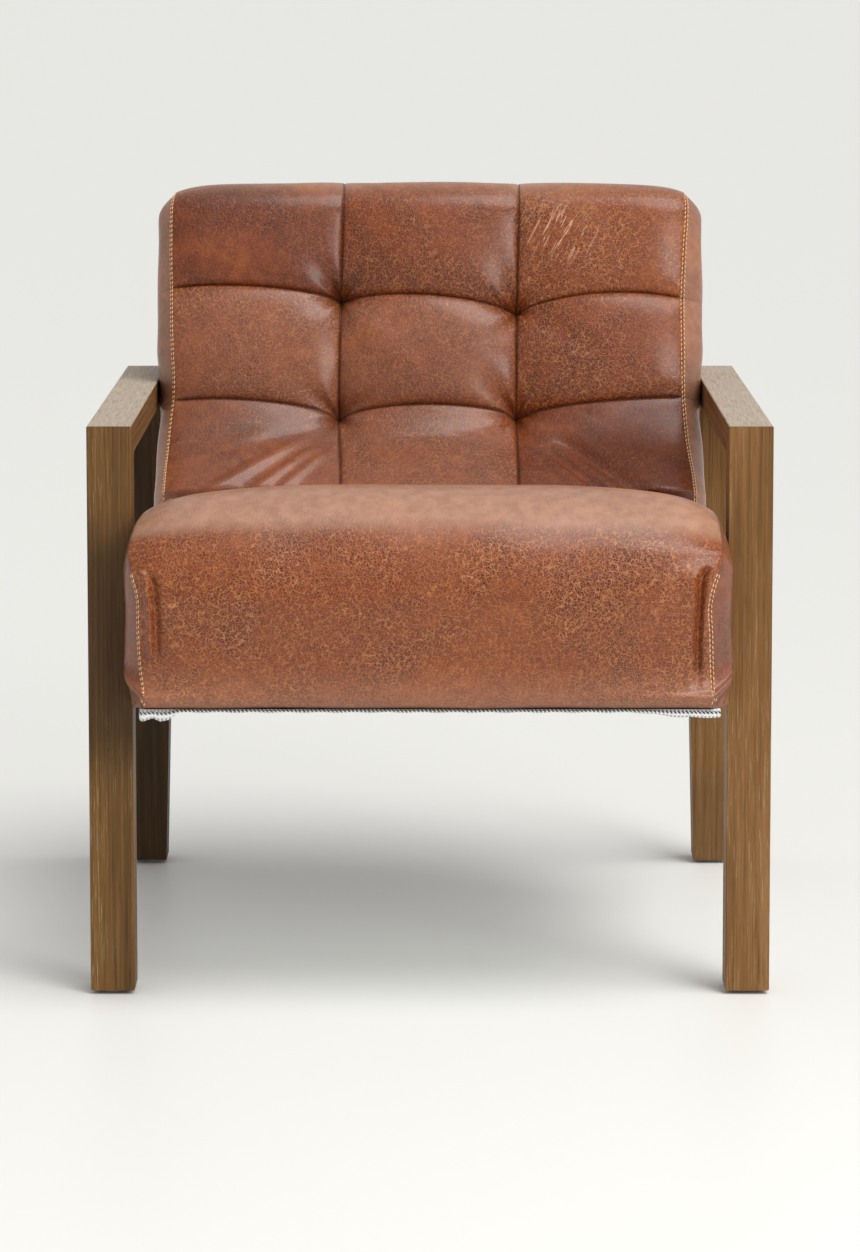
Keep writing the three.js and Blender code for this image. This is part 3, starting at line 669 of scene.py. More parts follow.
def tuft_pull(x, along):
    """How far the tufts, and the seams between them, draw the leather in, before the seams are moved."""
    depth = np.zeros_like(x)
    for sx in (-BACK_SEAM_X, BACK_SEAM_X):
        for sa in (BACK_SEAM_UPPER, BACK_SEAM_LOWER):
            dx, da = x - sx, along - sa
            r = np.hypot(dx, da)
            angle = np.arctan2(da, dx)
            fan = 1 + 0.20 * np.cos(5 * angle + 9 * sx + 21 * sa) * smooth(r / 0.012)
            depth = depth + 0.0215 * np.exp(-r / 0.027) * fan + 0.0065 * bell(r, 0.0085)
    for sa in (BACK_SEAM_UPPER, BACK_SEAM_LOWER):
        depth = depth + valley(np.abs(along - sa)) * smooth((SEAM_HALF - np.abs(x)) / 0.016)
    fade = 1 - 0.55 * smooth((along - 0.165) / 0.05)
    for sx in (-BACK_SEAM_X, BACK_SEAM_X):
        depth = depth + valley(np.abs(x - sx)) * fade
    return depth


def in_panels(x, along, values):
    """The value of the panel that a place is in."""
    result = np.zeros_like(x)
    for row, (low, high) in enumerate(zip(SEAMS_ALONG, SEAMS_ALONG[1:])):
        for column, (left, right) in enumerate(zip(SEAMS_ACROSS, SEAMS_ACROSS[1:])):
            inside = (x >= left) & (x <= right) & (along >= low) & (along <= high)
            result = np.where(inside, values[row][column], result)
    return result


def panel_puff(x, along):
    """Each panel stands out in its middle."""
    spans = zip([-PUFF_HALF, -BACK_SEAM_X, BACK_SEAM_X], [-BACK_SEAM_X, BACK_SEAM_X, PUFF_HALF])
    px = sum(arch((x - a) / (b - a)) for a, b in spans)
    pa = sum(w * arch((along - a) / (b - a)) for w, a, b in zip(ROW_PUFF, SEAMS_ALONG, SEAMS_ALONG[1:]))
    return 0.0100 * np.sqrt(np.clip(px * pa, 0, 1))


class BackCushion(BoxedCushion):
    name = "back_cushion"
    grip, reach = 0.04, 0.0075
    spine = np.array([on_back(0.070, -0.225), on_back(0.066, 0.165)])

    def __init__(self):
        outline = self.outline = back_outline()
        self.top_front = outline.nearest(*on_back(0, BACK_RISE))
        self.top_rear = outline.nearest(*on_back(BACK_THICKNESS, BACK_RISE))
        self.datum = outline.nearest(*BACK_DATUM)
        self.crease = outline.nearest(SEAT_REAR, seat_top(SEAT_REAR))
        self.foot = outline.nearest(*back_meets_base(BACK_THICKNESS))
        self.flap = outline.nearest(*on_back(BACK_THICKNESS, BACK_RISE - FLAP_DROP))
        seams = [self.datum - BACK_SEAM_UPPER, self.datum - BACK_SEAM_LOWER]
        length = outline.length
        self.rows = np.concatenate(
            [
                spaced([0.0, self.foot], 0.014, 0.004, 0.3, [0.0, self.foot])[:-1],
                spaced([self.foot, self.flap, self.top_rear], 0.010, 0.0012, 0.16, [self.flap])[:-1],
                spaced([self.top_rear, self.top_front], 0.0055, 0.0040, 0.05, [self.top_front])[:-1],
                spaced([self.top_front, *seams, self.crease], 0.0046, 0.0008, 0.10, seams)[:-1],
                spaced([self.crease, length], 0.014, 0.005, 0.3, [self.crease, length])[:-1],
            ]
        )
        self.columns = spaced(SEAMS_ACROSS, 0.0046, 0.0008, 0.10, SEAMS_ACROSS)

    def shift(self, x, along):
        """Moves straight seam places to where the seams really lie."""
        upper = span_seam(UPPER_SEAM, x) - BACK_SEAM_UPPER
        lower = span_seam(LOWER_SEAM, x) - BACK_SEAM_LOWER
        low, middle, high = (
            np.clip((along - a) / (b - a), 0, 1) for a, b in zip(SEAMS_ALONG, SEAMS_ALONG[1:])
        )
        return (lower * low * (1 - middle) + upper * middle) * (1 - high)

    def on_ply(self, run):
        """1 where the leather lies on the plywood: under the back, behind it, and against the seat."""
        rear = smooth((self.top_rear - 0.055 - run) / 0.03)
        return np.maximum(rear, smooth((run - self.crease - 0.05) / 0.03))

    def front_share(self, run):
        return smooth((run - (self.top_rear + 0.02)) / 0.03)

    def half_width(self, sign, run):
        half = curve_through(BACK_SIDE_SEAMS[sign], self.datum - run)
        half = half + (SEAM_HALF - half) * (1 - self.front_share(run))
        return half + (HARD_HALF - half) * self.on_ply(run)

    def panel(self, run, across):
        straight = self.datum - run
        front = self.front_share(run)
        along = straight + self.shift(across, straight) * front
        left, right = -self.half_width(-1, run), self.half_width(1, run)
        seam_left, seam_right = (curve_through(UPRIGHT_SEAMS[sign], straight) for sign in (-1, 1))
        stops = [left, seam_left, seam_right, right]
        x = np.zeros_like(run)
        for k, (a, b) in enumerate(zip(SEAMS_ACROSS, SEAMS_ACROSS[1:])):
            t = (across - a) / (b - a)
            x = np.where((t >= 0) & (t <= 1), stops[k] + t * (stops[k + 1] - stops[k]), x)
        share = np.abs(across) / SEAM_HALF
        seam = SEAM_HALF - np.abs(across)
        place = self.outline.at(run)
        soft = 1 - self.on_ply(run)
        top = bell(run - (self.top_front + self.top_rear) / 2, 0.075)
        on_front = front * smooth((self.crease + 0.035 - run) / 0.010)
        out = -(0.0030 * share**2.6 + 0.0080 * share**14) * front * soft
        out = out + top * (0.0022 - 0.002 * share**3 - 0.001 * share**12)
        out = out - tuft_pull(across, straight) * on_front
        out = out + panel_puff(across, straight) * on_front
        out = out + folds(x, along) * on_front * smooth(seam / 0.02)
        out = out - 0.0016 * bell(seam, 0.0014) * soft
        lap = bell(run - self.flap, 0.0014)
        out = out - 0.0018 * lap + leather_waves(x, place[..., 0], place[..., 1]) * soft
        lines = [np.abs(across) - BACK_SEAM_X, straight - BACK_SEAM_UPPER, straight - BACK_SEAM_LOWER]
        dark = np.max([bell(line, 0.0006) for line in lines], axis=0) * on_front
        # The paler band along the back's top is a painted sheen.
        edge = smooth((top - 0.25) / 0.5)
        aside = np.abs(across) - BACK_SEAM_X
        tuft = np.min([np.hypot(aside, straight - sa) for sa in SEAMS_ALONG[1:3]], axis=0)
        closest = np.min([np.abs(line) for line in lines] + [seam], axis=0)
        held = np.max([smooth(1 - closest / 0.008), smooth(1.3 - tuft / 0.010), 1 - on_front,
                       smooth(1 - (run - self.top_front) / 0.04),
                       smooth(1 - (self.crease - run) / 0.035)], axis=0)
        stitched = np.max([dark, 0.4 * bell(seam, 0.0009), lap], axis=0)
        # A paler patch over the left and middle of the lower two rows is a painted highlight.
        painted_highlight_patch = smooth((0.105 - x) / 0.05) * smooth((0.105 - straight) / 0.02)
        masks = {
            "held": held,
            # Darker leather round each tuft is painted shade in the tuft pits.
            "seam": np.maximum(stitched, 0.45 * bell(tuft, 0.006) * on_front),
            "painted_sheen_and_pale_edge": np.maximum(edge, 0.15 * painted_highlight_patch * on_front),
            "grain": in_panels(across, straight, PANEL_GRAIN) * (1 - 0.6 * edge),
            "fan": bell(x - 0.142, 0.034) * bell(along - 0.168, 0.024) * on_front,
            # Darker, less glossy leather on the lower right panels is painted shade of the right arm.
            "deep": 0.75 * bell(x - 0.215, 0.070) * bell(along + 0.085, 0.055) * on_front,
        }
        return x, self.datum - along, out, masks

    def gusset(self, sign, inwards, run, edge, place):
        depth, height = place[:, 0], place[:, 1]
        arm_top = ARM_TOP - HEIGHT_ZERO
        squeeze = bell(height - (arm_top - 0.016), 0.030)
        outer = SIDE_HALF - 0.0002 + 0.0022 * smooth((height - arm_top - 0.004) / 0.03)
        outer = outer - 0.0035 * squeeze * smooth((0.055 - inwards) / 0.03)
        outer = outer - 0.0008 * (1 + np.sin(height * 60 + depth * 31)) * smooth((inwards - 0.01) / 0.03)
        # The gusset's even paleness is a painted sheen.
        return self.turned(run, inwards, edge, outer, 0.030 + 0.010 * squeeze, np.full(len(run), 0.62), 0.2)


# ---------------------------------------------------------------- stitching
def piece_from(name, points, faces, material):
    mesh = bpy.data.meshes.new(name)
    mesh.from_pydata(points, [], faces)
    mesh.materials.append(material)
    piece = bpy.data.objects.new(name, mesh)
    bpy.context.scene.collection.objects.link(piece)
    shade_smooth(piece)
    return piece


def stitches(
    points, normals, pitch=STITCH_PITCH, length=STITCH_LENGTH, radius=STITCH_RADIUS, slant=STITCH_SLANT
):
    """Short rounded threads laid end to end along a line, each dipping into the leather at both ends."""
    sides = STITCH_SIDES
    steps = np.linalg.norm(np.diff(points, axis=0), axis=1)
    run = np.concatenate([[0], np.cumsum(steps)])
    vertices, faces = [], []
    turn = math.tan(math.radians(slant))
    for at in np.arange(pitch / 2, run[-1], pitch):
        reach = (at - length / 2, at + length / 2)
        ends = [np.array([np.interp(end, run, points[:, k]) for k in range(3)]) for end in reach]
        up = np.array([np.interp(at, run, normals[:, k]) for k in range(3)])
        middle, along = (ends[0] + ends[1]) / 2, ends[1] - ends[0]
        along /= np.linalg.norm(along)
        up = up - along * (up @ along)
        up /= np.linalg.norm(up)
        aside = np.cross(along, up)
        along = along + aside * turn
        first = len(vertices)
        for place, swell, lift in STITCH_RINGS:
            centre = middle + along * (length * place) + up * radius * lift
            for k in range(sides):
                angle = 2 * math.pi * k / sides
                vertices.append(centre + (aside * math.cos(angle) + up * math.sin(angle)) * radius * swell)
        for ring in range(len(STITCH_RINGS) - 1):
            for k in range(sides):
                a, b = first + ring * sides + k, first + ring * sides + (k + 1) % sides
                faces.append((a, a + sides, b + sides, b))
        faces.append([first + k for k in range(sides)])
        faces.append([first + (len(STITCH_RINGS) - 1) * sides + k for k in reversed(range(sides))])
    return vertices, faces


def joined(rows):
    vertices, faces = [], []
    for row_vertices, row_faces in rows:
        start = len(vertices)
        vertices += row_vertices
        faces += [[v + start for v in face] for face in row_faces]
    return [tuple(v) for v in vertices], faces


def side_topstitch(name, cushion, sign, spans, offset, material):
    """Rows of pale thread on both sides of a side seam, along each span of it."""
    rows = []
    for start, end in spans:
        runs = np.linspace(start, end, 500)
        across = np.full(len(runs), sign * (SEAM_HALF - offset))
        rows.append(stitches(*cushion.line_on_panel(runs, across)))
        rows.append(stitches(*cushion.line_on_gusset(sign, runs, offset), slant=-STITCH_SLANT))
    return piece_from(name, *joined(rows), material)


def back_seam_stitches(cushion, material):
    """Dark thread that shows along the seams between the back's panels."""
    rows = []
    beside = 0.0012
    for sign in (-1, 1):
        runs = np.linspace(cushion.top_rear, cushion.crease - 0.003, 400)
        across = np.full(len(runs), sign * (BACK_SEAM_X + beside))
        rows.append(stitches(*cushion.line_on_panel(runs, across), **SEAM_THREAD))
    for seam in (BACK_SEAM_UPPER, BACK_SEAM_LOWER):
        across = np.linspace(-SEAM_HALF + 0.006, SEAM_HALF - 0.006, 400)
        runs = np.full(len(across), cushion.datum - seam + beside)
        rows.append(stitches(*cushion.line_on_panel(runs, across), **SEAM_THREAD))
    return piece_from("back_seam_stitching", *joined(rows), material)


# ---------------------------------------------------------------- dust cover
COVER_FRONT = -0.0685  # depth of the cloth's front edge
COVER_DROP = 0.0022  # how far the edge shows below the leather


def cover_hang(x):
    """How far the cloth's front edge hangs down: a little, and more at the corners."""
    left = smooth((-0.246 - x) / 0.006) * (0.0078 + 0.0016 * np.sin(x * 420))
    right = smooth((x - 0.196) / 0.06) * 0.0052
    return COVER_DROP + 0.0006 * np.sin(x * 190) + left + right


def make_dust_cover(material, thread):
    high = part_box("dust_cover")[1]
    half = high.x
    rear = high.y - DEPTH_ZERO
    xs = spaced([-half, half], 0.009, 0.003, 0.25, [-half, half])
    depths = spaced([COVER_FRONT, rear], 0.012, 0.002, 0.25, [COVER_FRONT])
    grid_x, grid_d = np.meshgrid(xs, depths, indexing="ij")
    slack = arch((grid_x + half) / (2 * half)) * arch((grid_d - COVER_FRONT) / (rear - COVER_FRONT))
    height = seat_base(grid_d) - 0.0007 - 0.0035 * slack
    points = np.stack([grid_x, grid_d + DEPTH_ZERO, height + HEIGHT_ZERO], axis=-1)
    rims = []
    for share in (1.0, 0.66, 0.33):
        hang = cover_hang(xs) * share
        depth = COVER_FRONT - 0.0022 * math.sin(share * math.pi) - 0.0008
        base = seat_base(np.full(len(xs), COVER_FRONT)) - 0.0007
        rims.append(np.stack([xs, np.full(len(xs), depth + DEPTH_ZERO), base - hang + HEIGHT_ZERO], axis=-1))
    points = np.concatenate([np.stack(rims, axis=1), points], axis=1)
    rows, columns = points.shape[:2]
    faces = []
    for i in range(rows - 1):
        for j in range(columns - 1):
            a = i * columns + j
            faces.append((a, a + 1, a + columns + 1, a + columns))
    piece = piece_from("dust_cover_cloth", points.reshape(-1, 3).tolist(), faces, material)
    choose(piece)
    wall = piece.modifiers.new("cloth", "SOLIDIFY")
    wall.thickness = 0.0008
    wall.offset = 0.0
    bpy.ops.object.modifier_apply(modifier=wall.name)
    rim = points[:, 2]
    edge = np.stack([rim[:, 0], rim[:, 1] - 0.0005, rim[:, 2] + 0.0002], axis=-1)
    ahead = np.tile([0.0, -1.0, 0.0], (len(edge), 1))
    threads = [stitches(edge, ahead, 0.0040, 0.0028, 0.0008, 40.0)]
    overlock = piece_from("dust_cover_overlock", *joined(threads), thread)
    middle = points[rows // 2]
    return piece, overlock, (2 * half, float(np.linalg.norm(np.diff(middle, axis=0), axis=1).sum()))


# ---------------------------------------------------------------- shader building
def linear(code):
    """An sRGB colour such as "9a5c3c" as linear RGBA."""
    parts = [int(code[i : i + 2], 16) / 255 for i in (0, 2, 4)]
    return tuple(c / 12.92 if c <= 0.04045 else ((c + 0.055) / 1.055) ** 2.4 for c in parts) + (1.0,)


class Shader:
    """A node tree with short calls for the nodes that the finishes use."""

    def __init__(self, tree):
        self.tree = tree

    def put(self, value, socket):
        if isinstance(value, bpy.types.NodeSocket):
            self.tree.links.new(value, socket)
        else:
            socket.default_value = value

    def node(self, kind, inputs=None, **settings):
        made = self.tree.nodes.new(kind)
        for key, value in settings.items():
            setattr(made, key, value)
        for key, value in (inputs or {}).items():
            self.put(value, made.inputs[key])
        return made

    def math(self, operation, a, b):
        return self.node("ShaderNodeMath", {0: a, 1: b}, operation=operation).outputs[0]

    def times(self, a, b):
        return self.math("MULTIPLY", a, b)

    def plus(self, a, b):
        return self.math("ADD", a, b)

    def minus(self, a, b):
        return self.math("SUBTRACT", a, b)

    def vector(self, operation, a, b):
        inputs = {0: a, "Scale" if operation == "SCALE" else 1: b}
        return self.node("ShaderNodeVectorMath", inputs, operation=operation).outputs[0]

    def object_place(self):
        return self.node("ShaderNodeTexCoord").outputs["Object"]

    def between(self, value, low, high, to_low=0.0, to_high=1.0):
        inputs = {"Value": value, "From Min": low, "From Max": high, "To Min": to_low, "To Max": to_high}
        return self.node("ShaderNodeMapRange", inputs, interpolation_type="SMOOTHSTEP").outputs[0]

    def mix(self, share, a, b, blend="MIX"):
        made = self.node("ShaderNodeMix", data_type="RGBA", blend_type=blend)
        for socket, value in ((made.inputs[0], share), (made.inputs[6], a), (made.inputs[7], b)):
            self.put(value, socket)
        return made.outputs[2]

    def noise(self, vector, scale, detail=2.0, roughness=0.5, distortion=0.0):
        inputs = {"Vector": vector, "Scale": scale, "Detail": detail}
        inputs |= {"Roughness": roughness, "Distortion": distortion}
        return self.node("ShaderNodeTexNoise", inputs).outputs["Fac"]

    def bump(self, height, strength, distance):
        inputs = {"Height": height, "Strength": strength, "Distance": distance}
        return self.node("ShaderNodeBump", inputs).outputs[0]

    def edges(self, vector, scale, randomness=1.0):
        inputs = {"Vector": vector, "Scale": scale, "Randomness": randomness}
        return self.node("ShaderNodeTexVoronoi", inputs, feature="DISTANCE_TO_EDGE").outputs["Distance"]

    def ramp(self, value, stops):
        made = self.node("ShaderNodeValToRGB", {"Fac": value})
        ramp = made.color_ramp
        while len(ramp.elements) < len(stops):
            ramp.elements.new(0.5)
        for element, (place, colour) in zip(ramp.elements, stops):
            element.position = place
            element.color = linear(colour)
        return made.outputs["Color"]

    def give(self, sockets, **values):
        for name, value in values.items():
            self.tree.links.new(value, sockets[name])
        return self.tree

    def group(self, tree, inputs):
        return self.node("ShaderNodeGroup", inputs, node_tree=tree).outputs


def new_group(name, inputs, outputs):
    """The Shader and the input and output sockets of a new node group: values that depend on a Place."""
    tree = bpy.data.node_groups.new(name, "ShaderNodeTree")
    tree.interface.new_socket("Place", in_out="INPUT", socket_type="NodeSocketVector")
    for socket in inputs:
        tree.interface.new_socket(socket, in_out="INPUT", socket_type="NodeSocketFloat")
    for socket in outputs:
        tree.interface.new_socket(socket, in_out="OUTPUT", socket_type="NodeSocketFloat")
    source, result = tree.nodes.new("NodeGroupInput"), tree.nodes.new("NodeGroupOutput")
    return Shader(tree), source.outputs, result.inputs


def new_material(name, roughness, **constants):
    """A material, its Shader and its BSDF, with what is the same all over set on the BSDF's own sockets."""
    material = bpy.data.materials.new(name)
    material.use_nodes = True
    tree = material.node_tree
    bsdf = next(n for n in tree.nodes if n.type == "BSDF_PRINCIPLED")
    bsdf.inputs["Roughness"].default_value = roughness
    for key, value in constants.items():
        bsdf.inputs[key.replace("_", " ").title().replace("Ior", "IOR")].default_value = value
    return material, Shader(tree), bsdf


def feed(shader, bsdf, **links):
    for key, socket in links.items():
        shader.tree.links.new(socket, bsdf.inputs[key.replace("_", " ").title()])


# ---------------------------------------------------------------- shared effects
def leather_grain_group():
    """Pebbled hide: creases between small cells, and longer wrinkles where the hide was loose."""
    outputs = ["Creases", "Wrinkles", "Height"]
    shader, source, result = new_group("leather_grain", ["Cells", "Spread"], outputs)
    bend = shader.node("ShaderNodeTexNoise", {"Vector": source["Place"], "Scale": 95.0, "Detail": 2.0})
    nudge = shader.vector("SUBTRACT", bend.outputs["Color"], (0.5, 0.5, 0.5))
    place = shader.vector("ADD", source["Place"], shader.vector("SCALE", nudge, 0.0055))
    fine = shader.edges(place, source["Cells"])
    coarse = shader.edges(place, shader.times(source["Cells"], 0.46))
    long_lines = shader.edges(place, shader.times(source["Cells"], 0.19))
    broken = shader.between(shader.noise(source["Place"], 260.0, 2.0, 0.5), 0.38, 0.58)
    creases = shader.between(fine, 0.0, 0.17, 1.0, 0.0)
    deeper = shader.times(shader.between(coarse, 0.0, 0.085, 1.0, 0.0), broken)
    lines = shader.times(shader.between(long_lines, 0.0, 0.028, 1.0, 0.0), broken)
    area = shader.noise(source["Place"], 14.0, 3.0, 0.6)
    shown = shader.between(area, 0.34, 0.58, 0.55, 1.0)
    shown = shader.times(shown, source["Spread"])
    wrinkles = shader.times(shader.math("MAXIMUM", deeper, lines), shown)
    height = shader.minus(1.0, shader.times(creases, 0.65))
    height = shader.minus(height, shader.times(wrinkles, 0.5))
    return shader.give(result, Creases=creases, Wrinkles=wrinkles, Height=height)


def oak_grain_group():
    """Oak whose grain runs along Z: growth bands, pores and a slow change of tone."""
    shader, source, result = new_group("oak_grain", [], ["Tone", "Pores", "Bands"])

    def stretched(x, y, z):
        return shader.vector("MULTIPLY", source["Place"], (x, y, z))

    tone = shader.noise(stretched(16.0, 16.0, 1.6), 1.0, 4.0, 0.55, 0.6)
    pores = shader.noise(stretched(850.0, 850.0, 24.0), 1.0, 3.0, 0.65)
    streaks = shader.noise(stretched(360.0, 360.0, 4.6), 1.0, 4.0, 0.62)
    rings = {"Vector": stretched(1.0, 1.0, 0.11), "Scale": 26.0, "Distortion": 3.6}
    rings |= {"Detail": 3.0, "Detail Scale": 1.6, "Detail Roughness": 0.6}
    bow = shader.node("ShaderNodeTexWave", rings, wave_type="BANDS", bands_direction="X").outputs["Fac"]
    bands = shader.plus(shader.times(streaks, 0.93), shader.times(bow, 0.07))
    return shader.give(result, Tone=tone, Pores=pores, Bands=bands)


LEATHER_GRAIN = leather_grain_group()
OAK_GRAIN = oak_grain_group()


# ---------------------------------------------------------------- finishes
def leather_material():
    """Tan pull-up hide: cloudy, darker between pale creases, paler where it is stretched, paler for painted
    sheen and a painted highlight and along the bottom of the seat's front, and darker for painted shade.
    """
    gloss = {"coat_weight": 0.42, "coat_roughness": 0.24, "specular_ior_level": 0.28}
    material, shader, bsdf = new_material("tan_pull_up_leather", 0.4, **gloss)
    place = shader.object_place()
    seam, painted_sheen_and_pale_edge, strength, fan, deep = (
        shader.node("ShaderNodeAttribute", attribute_name=key).outputs["Fac"] for key in MASKS
    )
    grain = shader.group(LEATHER_GRAIN, {"Place": place, "Cells": 370.0, "Spread": 1.0})
    cloudy = shader.noise(place, 9.0, 5.0, 0.62, 0.8)
    speckle = shader.noise(place, 75.0, 3.0, 0.6)
    fine = shader.noise(place, 520.0, 2.0, 0.6)
    tone = shader.plus(shader.times(cloudy, 0.60), shader.times(speckle, 0.24))
    tone = shader.plus(tone, shader.times(fine, 0.16))
    colour = shader.ramp(tone, [(0.36, "441808"), (0.46, "5c230b"), (0.55, "723210"), (0.68, "924c1f")])
    # Painted shade: darker leather on the back's lower right.
    colour = shader.mix(deep, colour, linear("451a0a"))
    shown = shader.times(strength, shader.between(cloudy, 0.64, 0.40, 0.60, 1.0))
    creases = shader.times(grain["Creases"], shader.times(shown, 0.66))
    colour = shader.mix(creases, colour, linear("ad6230"))
    wrinkles = shader.times(grain["Wrinkles"], shader.times(shown, 0.72))
    colour = shader.mix(wrinkles, colour, linear("c98650"))
    slanted = {"Vector": place, "Rotation": (0.0, 0.46, 0.0), "Scale": (0.0034, 0.025, 0.034)}
    slope = shader.node("ShaderNodeMapping", slanted, vector_type="TEXTURE").outputs[0]
    lines = shader.between(shader.noise(slope, 1.0, 2.0, 0.5, 0.7), 0.55, 0.64)
    colour = shader.mix(shader.times(lines, fan), colour, linear("d9a98c"))
    # Paler leather: painted sheen and a painted highlight, and the paler bottom of the seat's front.
    paler_share = shader.times(painted_sheen_and_pale_edge, shader.between(speckle, 0.25, 0.75, 0.52, 0.74))
    colour = shader.mix(paler_share, colour, linear("bf937a"))
    # Dark stitch lines, and painted shade in the tuft pits.
    colour = shader.mix(shader.times(seam, 0.85), colour, linear("2c1107"))
    rough = shader.plus(shader.between(cloudy, 0.3, 0.7, 0.32, 0.44), shader.times(seam, 0.2))
    rough = shader.plus(rough, shader.times(deep, 0.35))
    coat = shader.between(deep, 0.0, 0.6, 0.42, 0.05)
    height = shader.minus(grain["Height"], shader.times(lines, fan))
    bump = shader.bump(height, 0.42, 0.0007)
    feed(shader, bsdf, base_color=colour, roughness=rough, coat_weight=coat, normal=bump)
    return material


def oak_material(name, turn, tones, haze, greyness, top=None, painted_shadow_and_dark_band=None):
    """Weathered oak. turn lays the grain along Z, and haze shows in the open grain, as far as greyness.

    top is the height of a face bleached by light and hands, and the last argument a darker band of heights:
    (from, to, how strong); on the front left leg it is a painted shadow of the seat.
    """
    material, shader, bsdf = new_material(name, 0.55, specular_ior_level=0.25)
    object_place = shader.object_place()
    place = shader.node("ShaderNodeMapping", {"Vector": object_place, "Rotation": turn}).outputs[0]
    grain = shader.group(OAK_GRAIN, {"Place": place})
    tone = shader.plus(shader.times(grain["Tone"], 0.5), shader.times(grain["Bands"], 0.5))
    colour = shader.ramp(tone, [(0.30, tones[0]), (0.50, tones[1]), (0.72, tones[2])])
    limed = shader.between(grain["Tone"], 0.40, 0.62)
    pale = shader.times(shader.between(grain["Pores"], 0.56, 0.70), limed)
    colour = shader.mix(shader.times(pale, greyness), colour, linear(haze))
    deep = shader.between(grain["Pores"], 0.44, 0.30)
    colour = shader.mix(shader.times(deep, 0.5), colour, linear(tones[0]))
    if top is not None:
        up = shader.node("ShaderNodeSeparateXYZ", {0: object_place}).outputs["Z"]
        bleached = shader.between(up, top - 0.0012, top - 0.0004)
        bleached = shader.times(bleached, shader.between(grain["Pores"], 0.25, 0.65, 0.35, 0.85))
        colour = shader.mix(bleached, colour, linear("c2b5a5"))
    # A darker band between two heights; on the front left leg it is a painted shadow of the seat.
    if painted_shadow_and_dark_band is not None:
        low, high, amount = painted_shadow_and_dark_band
        up = shader.node("ShaderNodeSeparateXYZ", {0: object_place}).outputs["Z"]
        dark = shader.times(shader.between(up, low - 0.08, low), shader.between(up, high + 0.04, high - 0.02))
        dark = shader.times(dark, shader.between(grain["Tone"], 0.2, 0.7, amount, 0.7 * amount))
        colour = shader.mix(dark, colour, linear("2b1d0b"))
    height = shader.plus(grain["Pores"], shader.times(grain["Bands"], 0.6))
    bump = shader.bump(height, 0.35, 0.0006)
    rough = shader.between(grain["Bands"], 0.3, 0.7, 0.60, 0.46)
    feed(shader, bsdf, base_color=colour, roughness=rough, normal=bump)
    return material


EVEN_GRAIN = (900.0, 900.0, 900.0)


def plain_grain_material(name, colours, roughness, scale, bump_strength=0.2, metallic=0.0):
    material, shader, bsdf = new_material(name, roughness, metallic=metallic)
    place = shader.object_place()
    place = shader.node("ShaderNodeMapping", {"Vector": place, "Scale": scale}).outputs[0]
    grain = shader.noise(place, 1.0, 4.0, 0.6)
    colour = shader.ramp(grain, [(0.3, colours[0]), (0.7, colours[1])])
    bump = shader.bump(grain, bump_strength, 0.0005)
    feed(shader, bsdf, base_color=colour, normal=bump)
    return material


def woven_material(name, dark, light, pitch):
    """Plain woven cloth, seen as two crossed sets of threads."""
    material, shader, bsdf = new_material(name, 0.9)
    place = shader.object_place()
    threads = {"Vector": place, "Scale": 1 / pitch / 6.283}
    across = shader.node("ShaderNodeTexWave", threads, bands_direction="X")
    along = shader.node("ShaderNodeTexWave", threads, bands_direction="Y")
    weave = shader.math("MAXIMUM", across.outputs["Fac"], along.outputs["Fac"])
    fleck = shader.noise(place, 600.0, 2.0)
    tone = shader.times(weave, shader.between(fleck, 0.3, 0.6, 0.55, 1.0))
    colour = shader.ramp(tone, [(0.15, dark), (0.75, light)])
    bump = shader.bump(weave, 0.4, 0.0004)
    feed(shader, bsdf, base_color=colour, normal=bump)
    return material


def finish_cad_nodes():
    """Every carried-over CAD piece gets its finish. The wood's grain runs along each piece."""
    upright = (0.0, 0.0, 0.0)
    level = (math.pi / 2, 0.0, 0.0)
    raked = (-REAR_LEG_RAKE, 0.0, 0.0)
    # The left-hand pieces take darker tone sets than the right-hand ones: painted shade on the chair's left
    # side.
    shaded_golden = ("33220e", "6c4b24", "8f6a38")
    tawny = ("3d2913", "785229", "967045")
    deep_shaded = ("1f1508", "4a3318", "63481f")
    bleached = "b9a585"
    # The front left leg's darker band is a painted shadow of the seat; the rear right leg is darker towards
    # the bottom.
    woods = [
        ("front_leg_left", upright, shaded_golden, 0.6, None, (0.27, 0.46, 0.62)),
        ("front_leg_right", upright, tawny, 0.45, None, None),
        ("arm_left", level, shaded_golden, 0.5, ARM_TOP, None),
        ("arm_right", level, tawny, 0.6, ARM_TOP, None),
        ("rear_leg_left", raked, deep_shaded, 0.2, None, None),
        ("rear_leg_right", raked, tawny, 0.25, None, (0.02, 0.10, 0.35)),
    ]
    finishes = [
        (piece, oak_material(f"oak_{piece}", turn, tones, bleached, greyness, top, painted_shadow_and_dark_band))
        for piece, turn, tones, greyness, top, painted_shadow_and_dark_band in woods
    ]
    ply = plain_grain_material("birch_plywood", ("7a5733", "936c42"), 0.7, (220.0, 14.0, 14.0))
    foam = plain_grain_material("upholstery_foam", ("d6c9a4", "efe6cc"), 0.95, EVEN_GRAIN, 0.5)
    webbing = woven_material("elastic_webbing", "26241f", "57534a", 0.0016)
    thread = plain_grain_material("tuft_twine", ("a8916a", "dccba6"), 0.9, (900.0, 900.0, 300.0))
    steel = plain_grain_material("zinc_steel", ("8b8f94", "b3b7bb"), 0.35, (60.0, 900.0, 900.0), 0.1, 1.0)
    glide = plain_grain_material("glide_nylon", ("c2c0ba", "e6e4de"), 0.5, (500.0, 500.0, 500.0), 0.15)
    finishes += [
        ("arm_bolt", steel), ("leg_bolt", steel), ("front_glide", glide), ("rear_glide", glide),
        ("seat_webbing", webbing), ("back_webbing", webbing), ("tuft_tie", thread), ("seat_foam", foam),
        ("back_foam", foam),
    ]
    for name, piece in NODES.items():
        material = next((m for start, m in finishes if name.startswith(start)), ply)
        piece.data.materials.clear()
        piece.data.materials.append(material)


